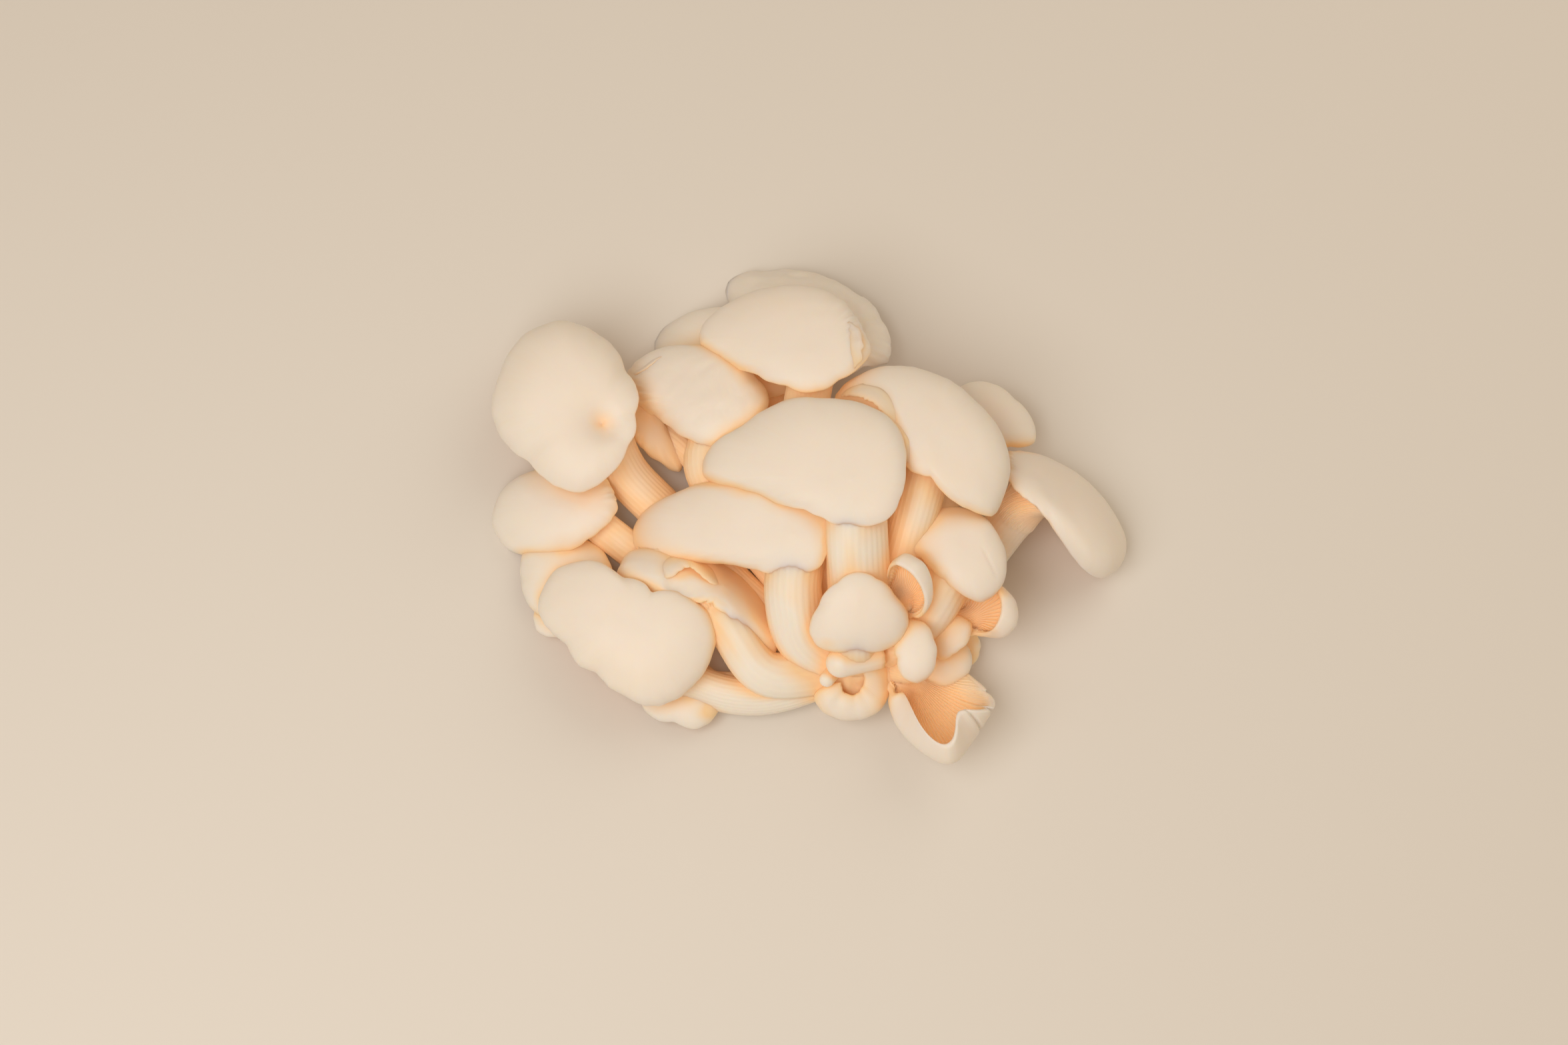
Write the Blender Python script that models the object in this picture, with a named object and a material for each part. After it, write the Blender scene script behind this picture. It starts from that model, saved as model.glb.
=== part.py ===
"""Oyster mushroom cluster, lying on its side: fan caps and stems grown from one foot.

Places and sizes are in millimetres and angles in degrees. X runs across the cluster,
Y runs along its depth and Z is up. Places are measured on the floor plan of the
cluster, and PLAN_SHIFT then moves the middle of its box over the origin.
"""

import math
from dataclasses import dataclass

import bmesh
import bpy
import numpy as np
from mathutils import Matrix

MM = 0.001
NODE_NAME = "oyster_mushroom_cluster"

PLAN_SHIFT = (-7.6, -8.21, 0.0)
FOOT = (24.0, -43.0, 10.0)
FOOT_RADII = (17.0, 13.0, 11.0)
FOOT_KNOBS = 0.12
FLOOR_SLAB = (300.0, 260.0, 60.0)

CAP_COLOUR = (0.86, 0.78, 0.66, 1.0)
CAP_ROUGHNESS = 0.55

# Shares of a cap's flesh, of a stem's radius and of a meridian's length.
GILL_RELIEF = 0.34
FLESH_THINNING = 1.3
STEM_RIB = 0.07
STEM_START = 1.5
STEM_END = 0.5
NECK_SPREAD = 1.45
NECK_LIMIT = 0.8
NECK_MARGIN = 0.1
LEAST_REACH = 1.15
PROFILE_STEPS = 60
TOP_RINGS = (0.22, 0.48, 0.72, 0.9, 1.0)
GILL_RINGS = (1.0, 0.84, 0.5)
GILL_FADE = (0.0, 0.6, 1.0, 0.8)
MARGIN_STEPS = 360
MARGIN_SOFTENING = ((-4.0, 0.25), (0.0, 0.5), (4.0, 0.25))
BACK_SHARE = 0.35
BUD_SIDES = 10
BUD_PROFILE = ((-0.85, 0.5), (-0.5, 0.86), (0.0, 1.0))
TRIANGLE_LIMIT = 11700
SHARP_ANGLE = 50.0
FULL_CIRCLE = 2.0 * math.pi


@dataclass(frozen=True)
class Mushroom:
    """One mushroom: a cap round the pole where its stem meets it, and the stem.

    The cap faces along its heading, with pitch lowering its front and roll raising
    its left side. Its margin is a list of bearings from the heading and reaches from
    the pole. crown, rim and curl are the slopes that the skin has at the pole, gains
    on its way out and gains again at the margin. lifts raise the margin near a bearing
    and rolls curl it further there, each with a bearing, a spread and an amount.
    """

    name: str
    pole: tuple
    heading: float
    margin: tuple
    path: tuple
    pitch: float = 0.0
    roll: float = 0.0
    crown: float = 6.0
    rim: float = 75.0
    curl: float = 20.0
    curl_start: float = 0.72
    fullness: float = 2.0
    flesh: float = 8.0
    lip: float = 2.0
    stem_top: float = 7.0
    stem_foot: float = 6.0
    gills: int = 20
    stem_ribs: int = 5
    stem_rings: int = 5
    lifts: tuple = ()
    rolls: tuple = ()


MUSHROOMS = (
    Mushroom("left_dimpled", (-58.6, 29.4, 33.0), 163.0,
             ((-150, 11), (-93, 20), (-75, 31), (-51, 43), (-33, 45), (-13, 41), (3, 39), (24, 32),
             (41, 26), (66, 25), (90, 24), (117, 18), (153, 12)),
             ((-52.0, 20.0, 14.0), (-39.9, 8.0, 9.0), (-25.4, -9.0, 10.0), (-4.0, -30.0, 11.0),
             (20.0, -42.0, 10.0)), pitch=8.0, crown=-54.0, rim=78.0, curl=20.0, stem_top=7.5,
             stem_foot=7.0, stem_rings=8),
    Mushroom("left_small", (-66.3, 5.2, 22.0), 172.0,
             ((-176, 12), (-136, 12), (-101, 14), (-63, 17), (-35, 22), (-11, 30), (9, 32), (27, 29),
             (45, 22), (71, 15), (108, 11), (141, 10)),
             ((-55.5, -1.0, 10.0), (-40.0, -12.0, 8.0), (-18.0, -20.0, 9.0)), pitch=8.0, roll=-8.0,
             rim=82.0, curl=25.0, flesh=6.0, stem_top=5.5, stem_foot=5.0, gills=14),
    Mushroom("left_under", (-66.2, -16.4, 15.0), 185.0,
             ((-147, 12), (-98, 15), (-60, 19), (-38, 22), (-12, 19), (28, 17), (70, 16), (116, 14),
             (167, 11)),
             ((-50.0, -18.0, 6.0), (-34.0, -20.0, 8.0), (-16.0, -22.0, 9.0)), flesh=5.0, stem_top=5.0,
             stem_foot=4.5, gills=12, stem_rings=4),
    Mushroom("left_lobe", (-72.7, -27.0, 9.0), 205.0,
             ((-147, 6), (-81, 7), (-37, 8), (9, 8), (53, 7), (108, 7), (161, 6)),
             ((-64.0, -24.0, 5.0), (-54.0, -20.0, 6.0)), rim=80.0, flesh=3.5, lip=1.6, stem_top=3.0,
             stem_foot=3.5, gills=8, stem_rings=3),
    Mushroom("front_left_kidney", (-44.6, -36.4, 33.0), 237.0,
             ((-166, 9), (-120, 16), (-114, 24), (-103, 30), (-91, 35), (-77, 37), (-68, 36), (-55, 31),
             (-46, 26), (-29, 25), (-12, 22), (8, 23), (28, 25), (45, 26), (66, 25), (88, 24), (116, 23),
             (134, 20), (153, 16)),
             ((-38.0, -46.0, 16.0), (-27.7, -51.0, 10.0), (-9.5, -54.5, 8.0), (10.0, -50.0, 9.0),
             (22.0, -44.0, 9.0)), pitch=8.0, rim=82.0, curl=35.0, stem_top=6.0, stem_foot=6.0,
             stem_rings=7, gills=20),
    Mushroom("front_left_under", (-31.2, -52.4, 12.0), 235.0,
             ((-131, 10), (-82, 12), (-36, 15), (16, 11), (51, 13), (98, 12), (130, 12), (173, 11)),
             ((-24.0, -51.0, 6.0), (-10.0, -52.0, 8.0)), rim=70.0, flesh=5.0, stem_top=5.0, stem_foot=5.0,
             gills=10, stem_rings=3),
    Mushroom("middle_long", (2.4, -12.5, 44.0), 172.0,
             ((-121, 12), (-62, 16), (-36, 30), (-19, 43), (-6, 57), (4, 59), (11, 52), (14, 41),
             (18, 29), (28, 21), (45, 16), (70, 13), (95, 12), (133, 13), (172, 11)),
             ((3.0, -26.0, 30.0), (6.5, -38.0, 21.0), (16.0, -43.0, 14.0), (24.0, -44.0, 10.0)),
             pitch=10.0, roll=-12.0, rim=85.0, curl=45.0, rolls=((20.0, 20.0, 50.0),), stem_top=9.5,
             stem_foot=9.0, stem_rings=6, gills=20),
    Mushroom("crown_middle", (20.8, 1.4, 56.0), 160.0,
             ((-176, 16), (-144, 17), (-115, 22), (-95, 26), (-78, 28), (-52, 33), (-36, 39), (-13, 44),
             (-2, 51), (8, 52), (13, 46), (16, 36), (21, 30), (32, 23), (46, 17), (70, 14.5), (113, 14),
             (152, 16)),
             ((22.5, -13.0, 42.0), (24.0, -30.0, 26.0), (25.0, -42.0, 12.0)), pitch=5.0, roll=-5.0,
             rim=72.0, curl=40.0, stem_top=9.5, stem_foot=9.5, gills=20),
    Mushroom("crown_back", (8.0, 48.0, 46.0), 150.0,
             ((-160, 16), (-141, 19), (-118, 20), (-95, 23), (-66, 29), (-38, 33), (-13, 39), (2, 42),
             (11, 40), (19, 30), (39, 18), (80, 12), (115, 12), (169, 12)),
             ((7.0, 32.0, 34.0), (11.0, 4.0, 26.0), (20.0, -28.0, 16.0), (24.0, -42.0, 10.0)), pitch=6.0,
             rim=78.0, curl=40.0, stem_top=7.0, stem_foot=7.0),
    Mushroom("back_withered", (10.4, 60.1, 25.0), 100.0,
             ((-122, 16), (-105, 24), (-90, 25), (-68, 26), (-29, 31), (-3, 39), (13, 43), (24, 48),
             (33, 47), (40, 34), (58, 24), (91, 16), (179, 9)),
             ((7.0, 40.0, 14.0), (12.0, 10.0, 12.0), (20.0, -20.0, 11.0), (24.0, -38.0, 10.0)), pitch=8.0,
             rim=70.0, curl=10.0, flesh=4.5, lip=1.6, stem_top=5.0, stem_foot=5.0, gills=20),
    Mushroom("back_left", (-6.9, 55.6, 21.0), 160.0,
             ((-169, 12), (-123, 12), (-73, 16), (-35, 33), (-21, 39), (-12, 42), (1, 42), (9, 32),
             (29, 18), (85, 11), (145, 12)),
             ((-2.0, 36.0, 12.0), (5.0, 10.0, 11.0), (16.0, -20.0, 11.0)), pitch=6.0, flesh=6.0,
             stem_top=5.5, stem_foot=5.0, gills=16),
    Mushroom("upper_left", (-20.2, 35.4, 36.0), 155.0,
             ((-178, 13), (-146, 15), (-109, 15), (-76, 20), (-56, 25), (-38, 30), (-25, 36), (-11, 40),
             (-1, 39), (8, 34), (21, 23), (38, 18), (64, 15), (95, 14), (131, 12)),
             ((-24.6, 19.6, 23.0), (-14.0, 2.0, 17.0), (6.0, -24.0, 13.0), (20.0, -42.0, 10.0)),
             pitch=8.0, rim=85.0, curl=45.0, stem_top=8.5, stem_foot=6.5, stem_rings=6),
    Mushroom("folded_under", (-44.9, 38.0, 20.0), -55.0,
             ((-150, 7), (-110, 6.5), (-73, 7), (-37, 11), (-17, 15), (-4, 20.5), (3, 21.5), (9, 16),
             (16, 10.5), (30, 7), (70, 5.5), (120, 6.5), (170, 7)),
             ((-34.0, 30.0, 12.0), (-20.0, 14.0, 12.0), (-8.0, 0.0, 13.0)), pitch=8.0, rim=85.0,
             curl=60.0, flesh=4.0, lip=1.8, stem_top=4.0, stem_foot=4.5, gills=12, stem_rings=4),
    Mushroom("crown_right", (45.3, 14.8, 50.0), 53.0,
             ((-139, 9), (-120, 16), (-110, 21), (-96, 28), (-73, 27), (-48, 26), (-26, 25), (0, 25),
             (15, 27), (31, 30), (56, 35), (66, 37), (79, 38), (87, 39), (92, 38), (96, 27), (101, 17),
             (109, 12), (126, 9), (171, 9)),
             ((42.0, 1.0, 36.0), (36.0, -18.0, 24.0), (28.0, -38.0, 12.0)), rim=78.0, curl=25.0,
             stem_top=8.0, stem_foot=8.0, gills=20, rolls=((100.0, 14.0, -70.0), (140.0, 20.0, 40.0))),
    Mushroom("back_right", (67.0, 35.8, 20.0), 50.0,
             ((-156, 8), (-99, 10), (-70, 16), (-51, 15), (-3, 12), (45, 16), (74, 17), (93, 15),
             (127, 9)),
             ((56.0, 18.0, 13.0), (45.0, -8.0, 13.0), (32.0, -32.0, 11.0)), rim=80.0, curl=40.0,
             flesh=5.0, stem_top=5.0, stem_foot=5.0, gills=10),
    Mushroom("right_shell", (80.6, 10.5, 30.0), -33.0,
             ((-113, 7), (-60, 9), (-38, 13), (-24, 20), (-13, 28), (-4, 32), (4, 35), (16, 38), (33, 39),
             (48, 37), (66, 33), (85, 29), (104, 27), (133, 22), (167, 10)),
             ((73.5, 3.0, 16.0), (62.0, -11.0, 12.0), (44.0, -30.0, 10.0), (32.0, -40.0, 10.0)),
             pitch=3.0, roll=-36.0, rim=85.0, curl=45.0, stem_top=7.0, stem_foot=6.5, stem_rings=6),
    Mushroom("right_small", (54.2, -16.2, 40.0), 50.0,
             ((-175, 8), (-140, 12), (-122, 15), (-112, 17), (-84, 17), (-54, 16), (-25, 15), (2, 16),
             (48, 17), (83, 18), (109, 20), (136, 11)),
             ((49.5, -26.0, 27.0), (40.0, -36.0, 16.0), (30.0, -42.0, 11.0)), rim=80.0, curl=30.0,
             flesh=6.0, stem_top=8.0, stem_foot=7.5, gills=14),
    Mushroom("front_dome", (22.8, -35.4, 45.0), 90.0,
             ((-173, 17), (-152, 18.5), (-133, 19.5), (-112, 17.5), (-84, 12), (-40, 9), (3, 9),
             (48, 8.5), (99, 12), (125, 18.5), (140, 19.5), (161, 18)),
             ((22.5, -42.0, 30.0), (23.0, -45.0, 18.0), (25.0, -45.0, 10.0)), pitch=-25.0, rim=88.0,
             curl=10.0, flesh=7.0, stem_top=6.5, stem_foot=7.0, gills=14, stem_rings=4),
    Mushroom("side_ring", (38.5, -30.5, 29.0), 78.0,
             ((-120, 5), (-90, 7), (-60, 8), (-30, 11), (0, 18.5), (25, 18), (50, 14), (80, 10), (120, 5),
             (170, 4)),
             ((37.0, -37.0, 23.0), (31.0, -41.0, 14.0)), pitch=-35.0, roll=155.0, rim=75.0, curl=60.0,
             curl_start=0.5, flesh=2.6, lip=1.6, stem_top=2.6, rolls=((-70.0, 40.0, 40.0),),
             stem_foot=4.0, gills=10, stem_rings=3),
    Mushroom("button", (40.9, -46.9, 34.0), 270.0,
             ((-170, 11), (-144, 9), (-113, 7), (-67, 6), (-23, 9), (2, 10), (27, 9), (68, 7), (124, 7),
             (162, 10)),
             ((38.0, -44.0, 26.0), (33.0, -43.0, 18.0), (28.0, -42.0, 11.0)), pitch=5.0, rim=88.0,
             curl=5.0, flesh=5.0, stem_top=4.0, stem_foot=5.0, gills=8, stem_rings=4),
    Mushroom("right_hook", (59.5, -32.0, 15.0), -8.0,
             ((-150, 5), (-100, 8), (-75, 11), (-58, 13), (-30, 16), (-5, 18), (12, 18), (25, 16),
             (38, 10), (60, 6), (110, 5), (170, 5)),
             ((52.0, -34.0, 14.0), (44.0, -39.0, 12.0), (34.0, -42.0, 11.0)), pitch=-20.0, roll=180.0,
             rim=50.0, curl=90.0, curl_start=0.4, flesh=2.6, lip=1.6, stem_top=3.0, stem_foot=4.0,
             gills=12, stem_rings=4),
    Mushroom("right_petal", (51.2, -40.0, 22.0), 35.0,
             ((-149, 7), (-110, 5), (-72, 5), (-21, 7.5), (0, 9), (40, 8.5), (75, 7), (113, 6.5),
             (150, 6)),
             ((44.0, -41.0, 15.0), (34.0, -42.0, 11.0)), pitch=-20.0, rim=85.0, curl=20.0, flesh=3.0,
             lip=1.6, stem_top=3.5, stem_foot=4.5, gills=10, stem_rings=3),
    Mushroom("front_right_dome", (50.7, -45.2, 17.0), -60.0,
             ((-165, 6), (-126, 7), (-83, 10), (-53, 8), (9, 8), (56, 9), (92, 10), (112, 10)),
             ((46.0, -44.0, 10.0), (36.0, -43.0, 9.0)), rim=85.0, flesh=4.0, lip=1.8, stem_top=4.0,
             stem_foot=4.5, gills=10, stem_rings=3),
    Mushroom("right_behind", (57.8, -38.5, 9.0), -40.0,
             ((-145, 5), (-77, 6), (-43, 6), (33, 5), (102, 7), (148, 6)),
             ((52.0, -39.0, 6.0), (46.0, -41.0, 8.0)), rim=80.0, flesh=3.0, lip=1.6, stem_top=3.0,
             stem_foot=4.0, gills=8, stem_rings=3),
    Mushroom("gill_fan", (38.3, -48.5, 12.0), -60.0,
             ((-150, 6), (-100, 7), (-80, 12), (-60, 20), (-42, 28), (-24, 28.5), (-9, 30), (3, 32),
             (9, 32.5), (27, 23), (45, 15), (73, 8), (112, 6)),
             ((34.0, -46.0, 11.0), (28.0, -44.0, 8.0)), pitch=14.0, roll=180.0, rim=40.0, curl=50.0,
             curl_start=0.25, flesh=3.5, lip=2.2, stem_top=3.6, stem_foot=6.0, gills=24, stem_rings=3,
             rolls=((45.0, 26.0, 120.0), (-14.0, 22.0, 70.0), (-65.0, 26.0, -50.0))),
    Mushroom("folded_middle", (-19.0, -24.0, 27.0), 145.0,
             ((-165, 24), (-140, 19), (-105, 16), (-80, 17), (-50, 22), (-25, 29), (-5, 34), (15, 32),
             (35, 20), (60, 10), (90, 8), (130, 9), (165, 18), (180, 25)),
             ((-17.0, -36.0, 21.0), (-6.0, -49.0, 16.0), (10.0, -47.5, 12.5), (22.0, -44.0, 10.0)),
             roll=38.0, pitch=-4.0, rim=85.0, curl=30.0, flesh=5.0, lip=1.8, stem_top=7.0, stem_foot=7.5,
             gills=16, stem_rings=6, rolls=((40.0, 40.0, 40.0),)),
    Mushroom("front_crescent", (21.2, -52.0, 5.0), 283.0,
             ((-145, 6), (-118, 12), (-105, 13), (-75, 12.5), (-37, 12.5), (5, 11.5), (50, 12), (82, 14),
             (100, 9), (130, 5), (170, 5)),
             ((22.0, -49.0, 9.0), (23.0, -45.0, 9.0)), roll=180.0, rim=45.0, curl=145.0, curl_start=0.1,
             flesh=2.6, lip=1.8, stem_top=3.0, stem_foot=5.0, gills=10, stem_rings=3,
             lifts=((-110.0, 32.0, -5.0),)),
)

# Buds and stubs: place of the round end, its radius and where it grows from.
BUDS = (
    ((13.5, -53.2, 22.0), 2.4, (18.0, -46.0, 16.0)),
    ((17.8, -49.0, 26.0), 4.7, (30.1, -45.2, 23.0)),
)


def cap_axes(spec):
    """Return the cap's forward, left and up directions."""
    turn = math.radians(spec.heading)
    forward = np.array((math.cos(turn), math.sin(turn), 0.0))
    left = np.array((-math.sin(turn), math.cos(turn), 0.0))
    up = np.array((0.0, 0.0, 1.0))
    dip = math.radians(spec.pitch)
    forward, up = (forward * math.cos(dip) - up * math.sin(dip),
                   up * math.cos(dip) + forward * math.sin(dip))
    lean = math.radians(spec.roll)
    left, up = (left * math.cos(lean) + up * math.sin(lean),
                up * math.cos(lean) - left * math.sin(lean))
    return forward, left, up


def margin_reach(spec, bearings):
    """Return how far the margin reaches from the pole at each bearing, softly joined."""
    measured, reaches = zip(*spec.margin)
    total = np.zeros_like(bearings)
    for offset, weight in MARGIN_SOFTENING:
        total += weight * np.interp(bearings + offset, measured, reaches, period=360.0)
    return np.maximum(total, spec.stem_top * LEAST_REACH)


def margin_bearings(spec, count):
    """Return bearings that divide the margin into stretches of like length."""
    bearings = np.linspace(-180.0, 180.0, MARGIN_STEPS + 1)
    reach = margin_reach(spec, bearings)
    turn = np.radians(bearings)
    ahead, aside = reach * np.cos(turn), reach * np.sin(turn)
    run = np.hypot(np.diff(ahead), np.diff(aside)) + reach.mean() * np.diff(turn) * BACK_SHARE
    marks = np.concatenate(((0.0,), np.cumsum(run)))
    return np.interp(np.arange(count) * marks[-1] / count, marks, bearings)


def bumps(bearings, items):
    """Return the sum of smooth bumps, each at a bearing with a spread and an amount."""
    total = np.zeros_like(bearings)
    for centre, spread, amount in items:
        away = (bearings - centre + 180.0) % 360.0 - 180.0
        total += amount * np.exp(-(away / spread) ** 2)
    return total


def cap_profile(spec, bearings):
    """Return each meridian's distance out, height and slope from the pole to the margin."""
    reach = margin_reach(spec, bearings)
    u = np.linspace(0.0, 1.0, PROFILE_STEPS + 1)[:, None]
    share = (reach / max(r for _, r in spec.margin))[None, :]
    edge = np.clip((u - spec.curl_start) / (1.0 - spec.curl_start), 0.0, 1.0)
    edge = edge * edge * (3.0 - 2.0 * edge)
    slope = np.radians(spec.crown * (1.0 - u) ** 3
                       + spec.rim * np.sqrt(share) * u ** spec.fullness
                       + (spec.curl * share + bumps(bearings, spec.rolls)) * edge)
    middle = 0.5 * (slope[1:] + slope[:-1])
    out = np.vstack((np.zeros(len(bearings)), np.cumsum(np.cos(middle), axis=0))) / PROFILE_STEPS
    drop = np.vstack((np.zeros(len(bearings)), np.cumsum(np.sin(middle), axis=0))) / PROFILE_STEPS
    scale = reach / out.max(axis=0)
    height = u ** 3 * bumps(bearings, spec.lifts) - drop * scale
    return out * scale, height, slope, np.radians(bearings)


def at_share(table, u):
    """Read a meridian table at the shares u, one for each column."""
    place = np.clip(u, 0.0, 1.0) * PROFILE_STEPS
    low = np.minimum(place.astype(int), PROFILE_STEPS - 1)
    part = place - low
    columns = np.arange(table.shape[1])
    return table[low, columns] * (1.0 - part) + table[low + 1, columns] * part


def cap_ring(spec, axes, profile, u, depth):
    """Return one ring of the cap at the shares u, sunk by depth below its skin."""
    out, height, slope, direction = profile
    forward, left, up = axes
    tilt = at_share(slope, u)
    distance = at_share(out, u) - depth * np.sin(tilt)
    level = at_share(height, u) - depth * np.cos(tilt)
    ring = (np.outer(distance * np.cos(direction), forward)
            + np.outer(distance * np.sin(direction), left)
            + np.outer(level, up))
    return ring + np.array(spec.pole)


def stem_centres(points, tangent, count):
    """Return points and directions spaced evenly on a smooth path through the points."""
    points = np.array(points)
    gaps = np.linalg.norm(np.diff(points, axis=0), axis=1)
    slopes = np.empty_like(points)
    slopes[0] = tangent
    slopes[-1] = (points[-1] - points[-2]) / gaps[-1]
    for i in range(1, len(points) - 1):
        before = (points[i] - points[i - 1]) / gaps[i - 1]
        after = (points[i + 1] - points[i]) / gaps[i]
        slopes[i] = (before * gaps[i] + after * gaps[i - 1]) / (gaps[i] + gaps[i - 1])
    marks = np.concatenate(((0.0,), np.cumsum(gaps)))
    places, directions = [], []
    for mark in np.linspace(0.0, marks[-1], count):
        i = min(np.searchsorted(marks, mark, side="right") - 1, len(gaps) - 1)
        t, span = (mark - marks[i]) / gaps[i], gaps[i]
        places.append((2 * t**3 - 3 * t**2 + 1) * points[i] + (t**3 - 2 * t**2 + t) * span * slopes[i]
                      + (3 * t**2 - 2 * t**3) * points[i + 1] + (t**3 - t**2) * span * slopes[i + 1])
        run = ((6 * t**2 - 6 * t) * (points[i] - points[i + 1]) / span
               + (3 * t**2 - 4 * t + 1) * slopes[i] + (3 * t**2 - 2 * t) * slopes[i + 1])
        directions.append(run / np.linalg.norm(run))
    return np.array(places), np.array(directions)


def carried(vector, direction):
    """Return the vector made square to the direction, at unit length."""
    flat = vector - direction * np.dot(vector, direction)
    return flat / np.linalg.norm(flat)


def stem_ring_list(spec, axes, start_depth):
    """Return the stem's rings from under the cap to its foot, and the foot's end point."""
    forward, left, up = axes
    start = np.array(spec.pole) - up * start_depth
    centres, directions = stem_centres((start,) + spec.path, -up, spec.stem_rings + 1)
    columns = 2 * spec.stem_ribs
    angles = np.arange(columns) * FULL_CIRCLE / columns - math.pi
    ribs = 1.0 + STEM_RIB * np.where(np.arange(columns) % 2 == 0, 1.0, -1.0)
    rings = []
    side = forward
    for i, (centre, direction) in enumerate(zip(centres, directions)):
        side = carried(side, direction)
        other = np.cross(side, direction)
        part = i / spec.stem_rings
        radius = spec.stem_top + (spec.stem_foot - spec.stem_top) * part
        rings.append(centre + radius * (np.outer(np.cos(angles) * ribs, side)
                                        + np.outer(np.sin(angles) * ribs, other)))
    end = centres[-1] + directions[-1] * spec.stem_foot * STEM_END
    return rings, end


def mushroom_rings(spec):
    """Return one mushroom's rings in order from the cap's pole down to the stem's foot."""
    axes = cap_axes(spec)
    top_profile = cap_profile(spec, margin_bearings(spec, spec.gills))
    rings = [cap_ring(spec, axes, top_profile, np.full(spec.gills, u), 0.0) for u in TOP_RINGS]

    columns = 2 * spec.gills
    profile = cap_profile(spec, margin_bearings(spec, columns))
    reach = profile[0].max(axis=0)
    ridge = np.where(np.arange(columns) % 2 == 0, 1.0, 0.0)
    inner = np.minimum(NECK_SPREAD * spec.stem_top / reach, NECK_LIMIT)
    shares = [np.maximum(u, inner + NECK_MARGIN * (1.0 - inner)) for u in GILL_RINGS] + [inner]
    for u, fade in zip(shares, GILL_FADE):
        thick = spec.lip + (spec.flesh - spec.lip) * (1.0 - u) ** FLESH_THINNING
        gill = fade * GILL_RELIEF * spec.flesh * ridge
        rings.append(cap_ring(spec, axes, profile, u, thick + gill))

    stem_rings, end = stem_ring_list(spec, axes, spec.flesh * STEM_START)
    return rings + stem_rings, np.array(spec.pole), end


def bridge(first, second):
    """Return the triangles between two closed rings of vertex numbers."""
    faces = []
    i = j = 0
    while i < len(first) or j < len(second):
        a, b = first[i % len(first)], second[j % len(second)]
        if (i + 1) * len(second) <= (j + 1) * len(first) and i < len(first):
            faces.append((a, b, first[(i + 1) % len(first)]))
            i += 1
        else:
            faces.append((a, b, second[(j + 1) % len(second)]))
            j += 1
    return faces


def loft(name, rings, start, end):
    """Make a closed mesh object from the rings, with a point at each end."""
    vertices = [tuple(start)]
    numbered = []
    for ring in rings:
        numbered.append(list(range(len(vertices), len(vertices) + len(ring))))
        vertices.extend(tuple(point) for point in ring)
    vertices.append(tuple(end))
    last = len(vertices) - 1
    first_ring, last_ring = numbered[0], numbered[-1]
    faces = [(0, first_ring[k], first_ring[(k + 1) % len(first_ring)]) for k in range(len(first_ring))]
    for ring_a, ring_b in zip(numbered, numbered[1:]):
        faces.extend(bridge(ring_a, ring_b))
    faces.extend((last, last_ring[(k + 1) % len(last_ring)], last_ring[k]) for k in range(len(last_ring)))
    mesh = bpy.data.meshes.new(name)
    mesh.from_pydata([tuple(c * MM for c in v) for v in vertices], [], faces)
    return bpy.data.objects.new(name, mesh)


def make_foot():
    """Make the knobby foot that all the stems grow from."""
    mesh = bpy.data.meshes.new("foot")
    shape = bmesh.new()
    bmesh.ops.create_icosphere(shape, subdivisions=3, radius=1.0)
    for vertex in shape.verts:
        x, y, z = vertex.co
        knob = 1.0 + FOOT_KNOBS * math.sin(5.0 * x + 1.0) * math.sin(5.0 * y) * math.cos(4.0 * z)
        vertex.co = [(c * r * knob + p) * MM for c, r, p in zip((x, y, z), FOOT_RADII, FOOT)]
    shape.to_mesh(mesh)
    shape.free()
    return bpy.data.objects.new("foot", mesh)


def make_bud(name, place, radius, root):
    """Make a round bud on a short stalk."""
    place, root = np.array(place), np.array(root)
    axis = (root - place) / np.linalg.norm(root - place)
    side = carried(np.array((1.0, 0.0, 0.0)), axis)
    other = np.cross(side, axis)
    angles = np.arange(BUD_SIDES) * FULL_CIRCLE / BUD_SIDES
    circle = np.outer(np.cos(angles), side) + np.outer(np.sin(angles), other)
    rings = []
    for along, width in BUD_PROFILE:
        centre = place + axis * along * radius
        rings.append(centre + width * radius * circle)
    rings.append(root + radius * circle)
    return loft(name, rings, place - axis * radius, root + axis)


def add_boolean(thing, operation, solver, cutter=None, group=None):
    """Add a Boolean modifier that joins a collection or cuts with an object."""
    boolean = thing.modifiers.new(operation.title(), "BOOLEAN")
    boolean.operation = operation
    boolean.solver = solver
    if group is not None:
        boolean.operand_type = "COLLECTION"
        boolean.collection = group
    else:
        boolean.object = cutter


def apply_modifiers(thing):
    """Give the object its evaluated mesh in place of its modifiers."""
    bpy.context.view_layer.update()
    evaluated = thing.evaluated_get(bpy.context.evaluated_depsgraph_get())
    thing.data = bpy.data.meshes.new_from_object(evaluated)
    thing.modifiers.clear()


def islands(shape):
    """Return the lists of faces that hang together."""
    found, seen = [], set()
    for first in shape.faces:
        if first in seen:
            continue
        island, queue = [], [first]
        seen.add(first)
        while queue:
            face = queue.pop()
            island.append(face)
            for edge in face.edges:
                for other in edge.link_faces:
                    if other not in seen:
                        seen.add(other)
                        queue.append(other)
        found.append(island)
    return found


def keep_largest_body(thing):
    """Fill sealed hollows and drop loose scraps, so that one body is left."""
    shape = bmesh.new()
    shape.from_mesh(thing.data)
    bmesh.ops.triangulate(shape, faces=shape.faces)
    bodies = sorted(islands(shape), key=len)
    extra = [face for body in bodies[:-1] for face in body]
    bmesh.ops.delete(shape, geom=extra, context="FACES")
    bmesh.ops.delete(shape, geom=[v for v in shape.verts if not v.link_faces], context="VERTS")
    shape.to_mesh(thing.data)
    shape.free()


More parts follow.
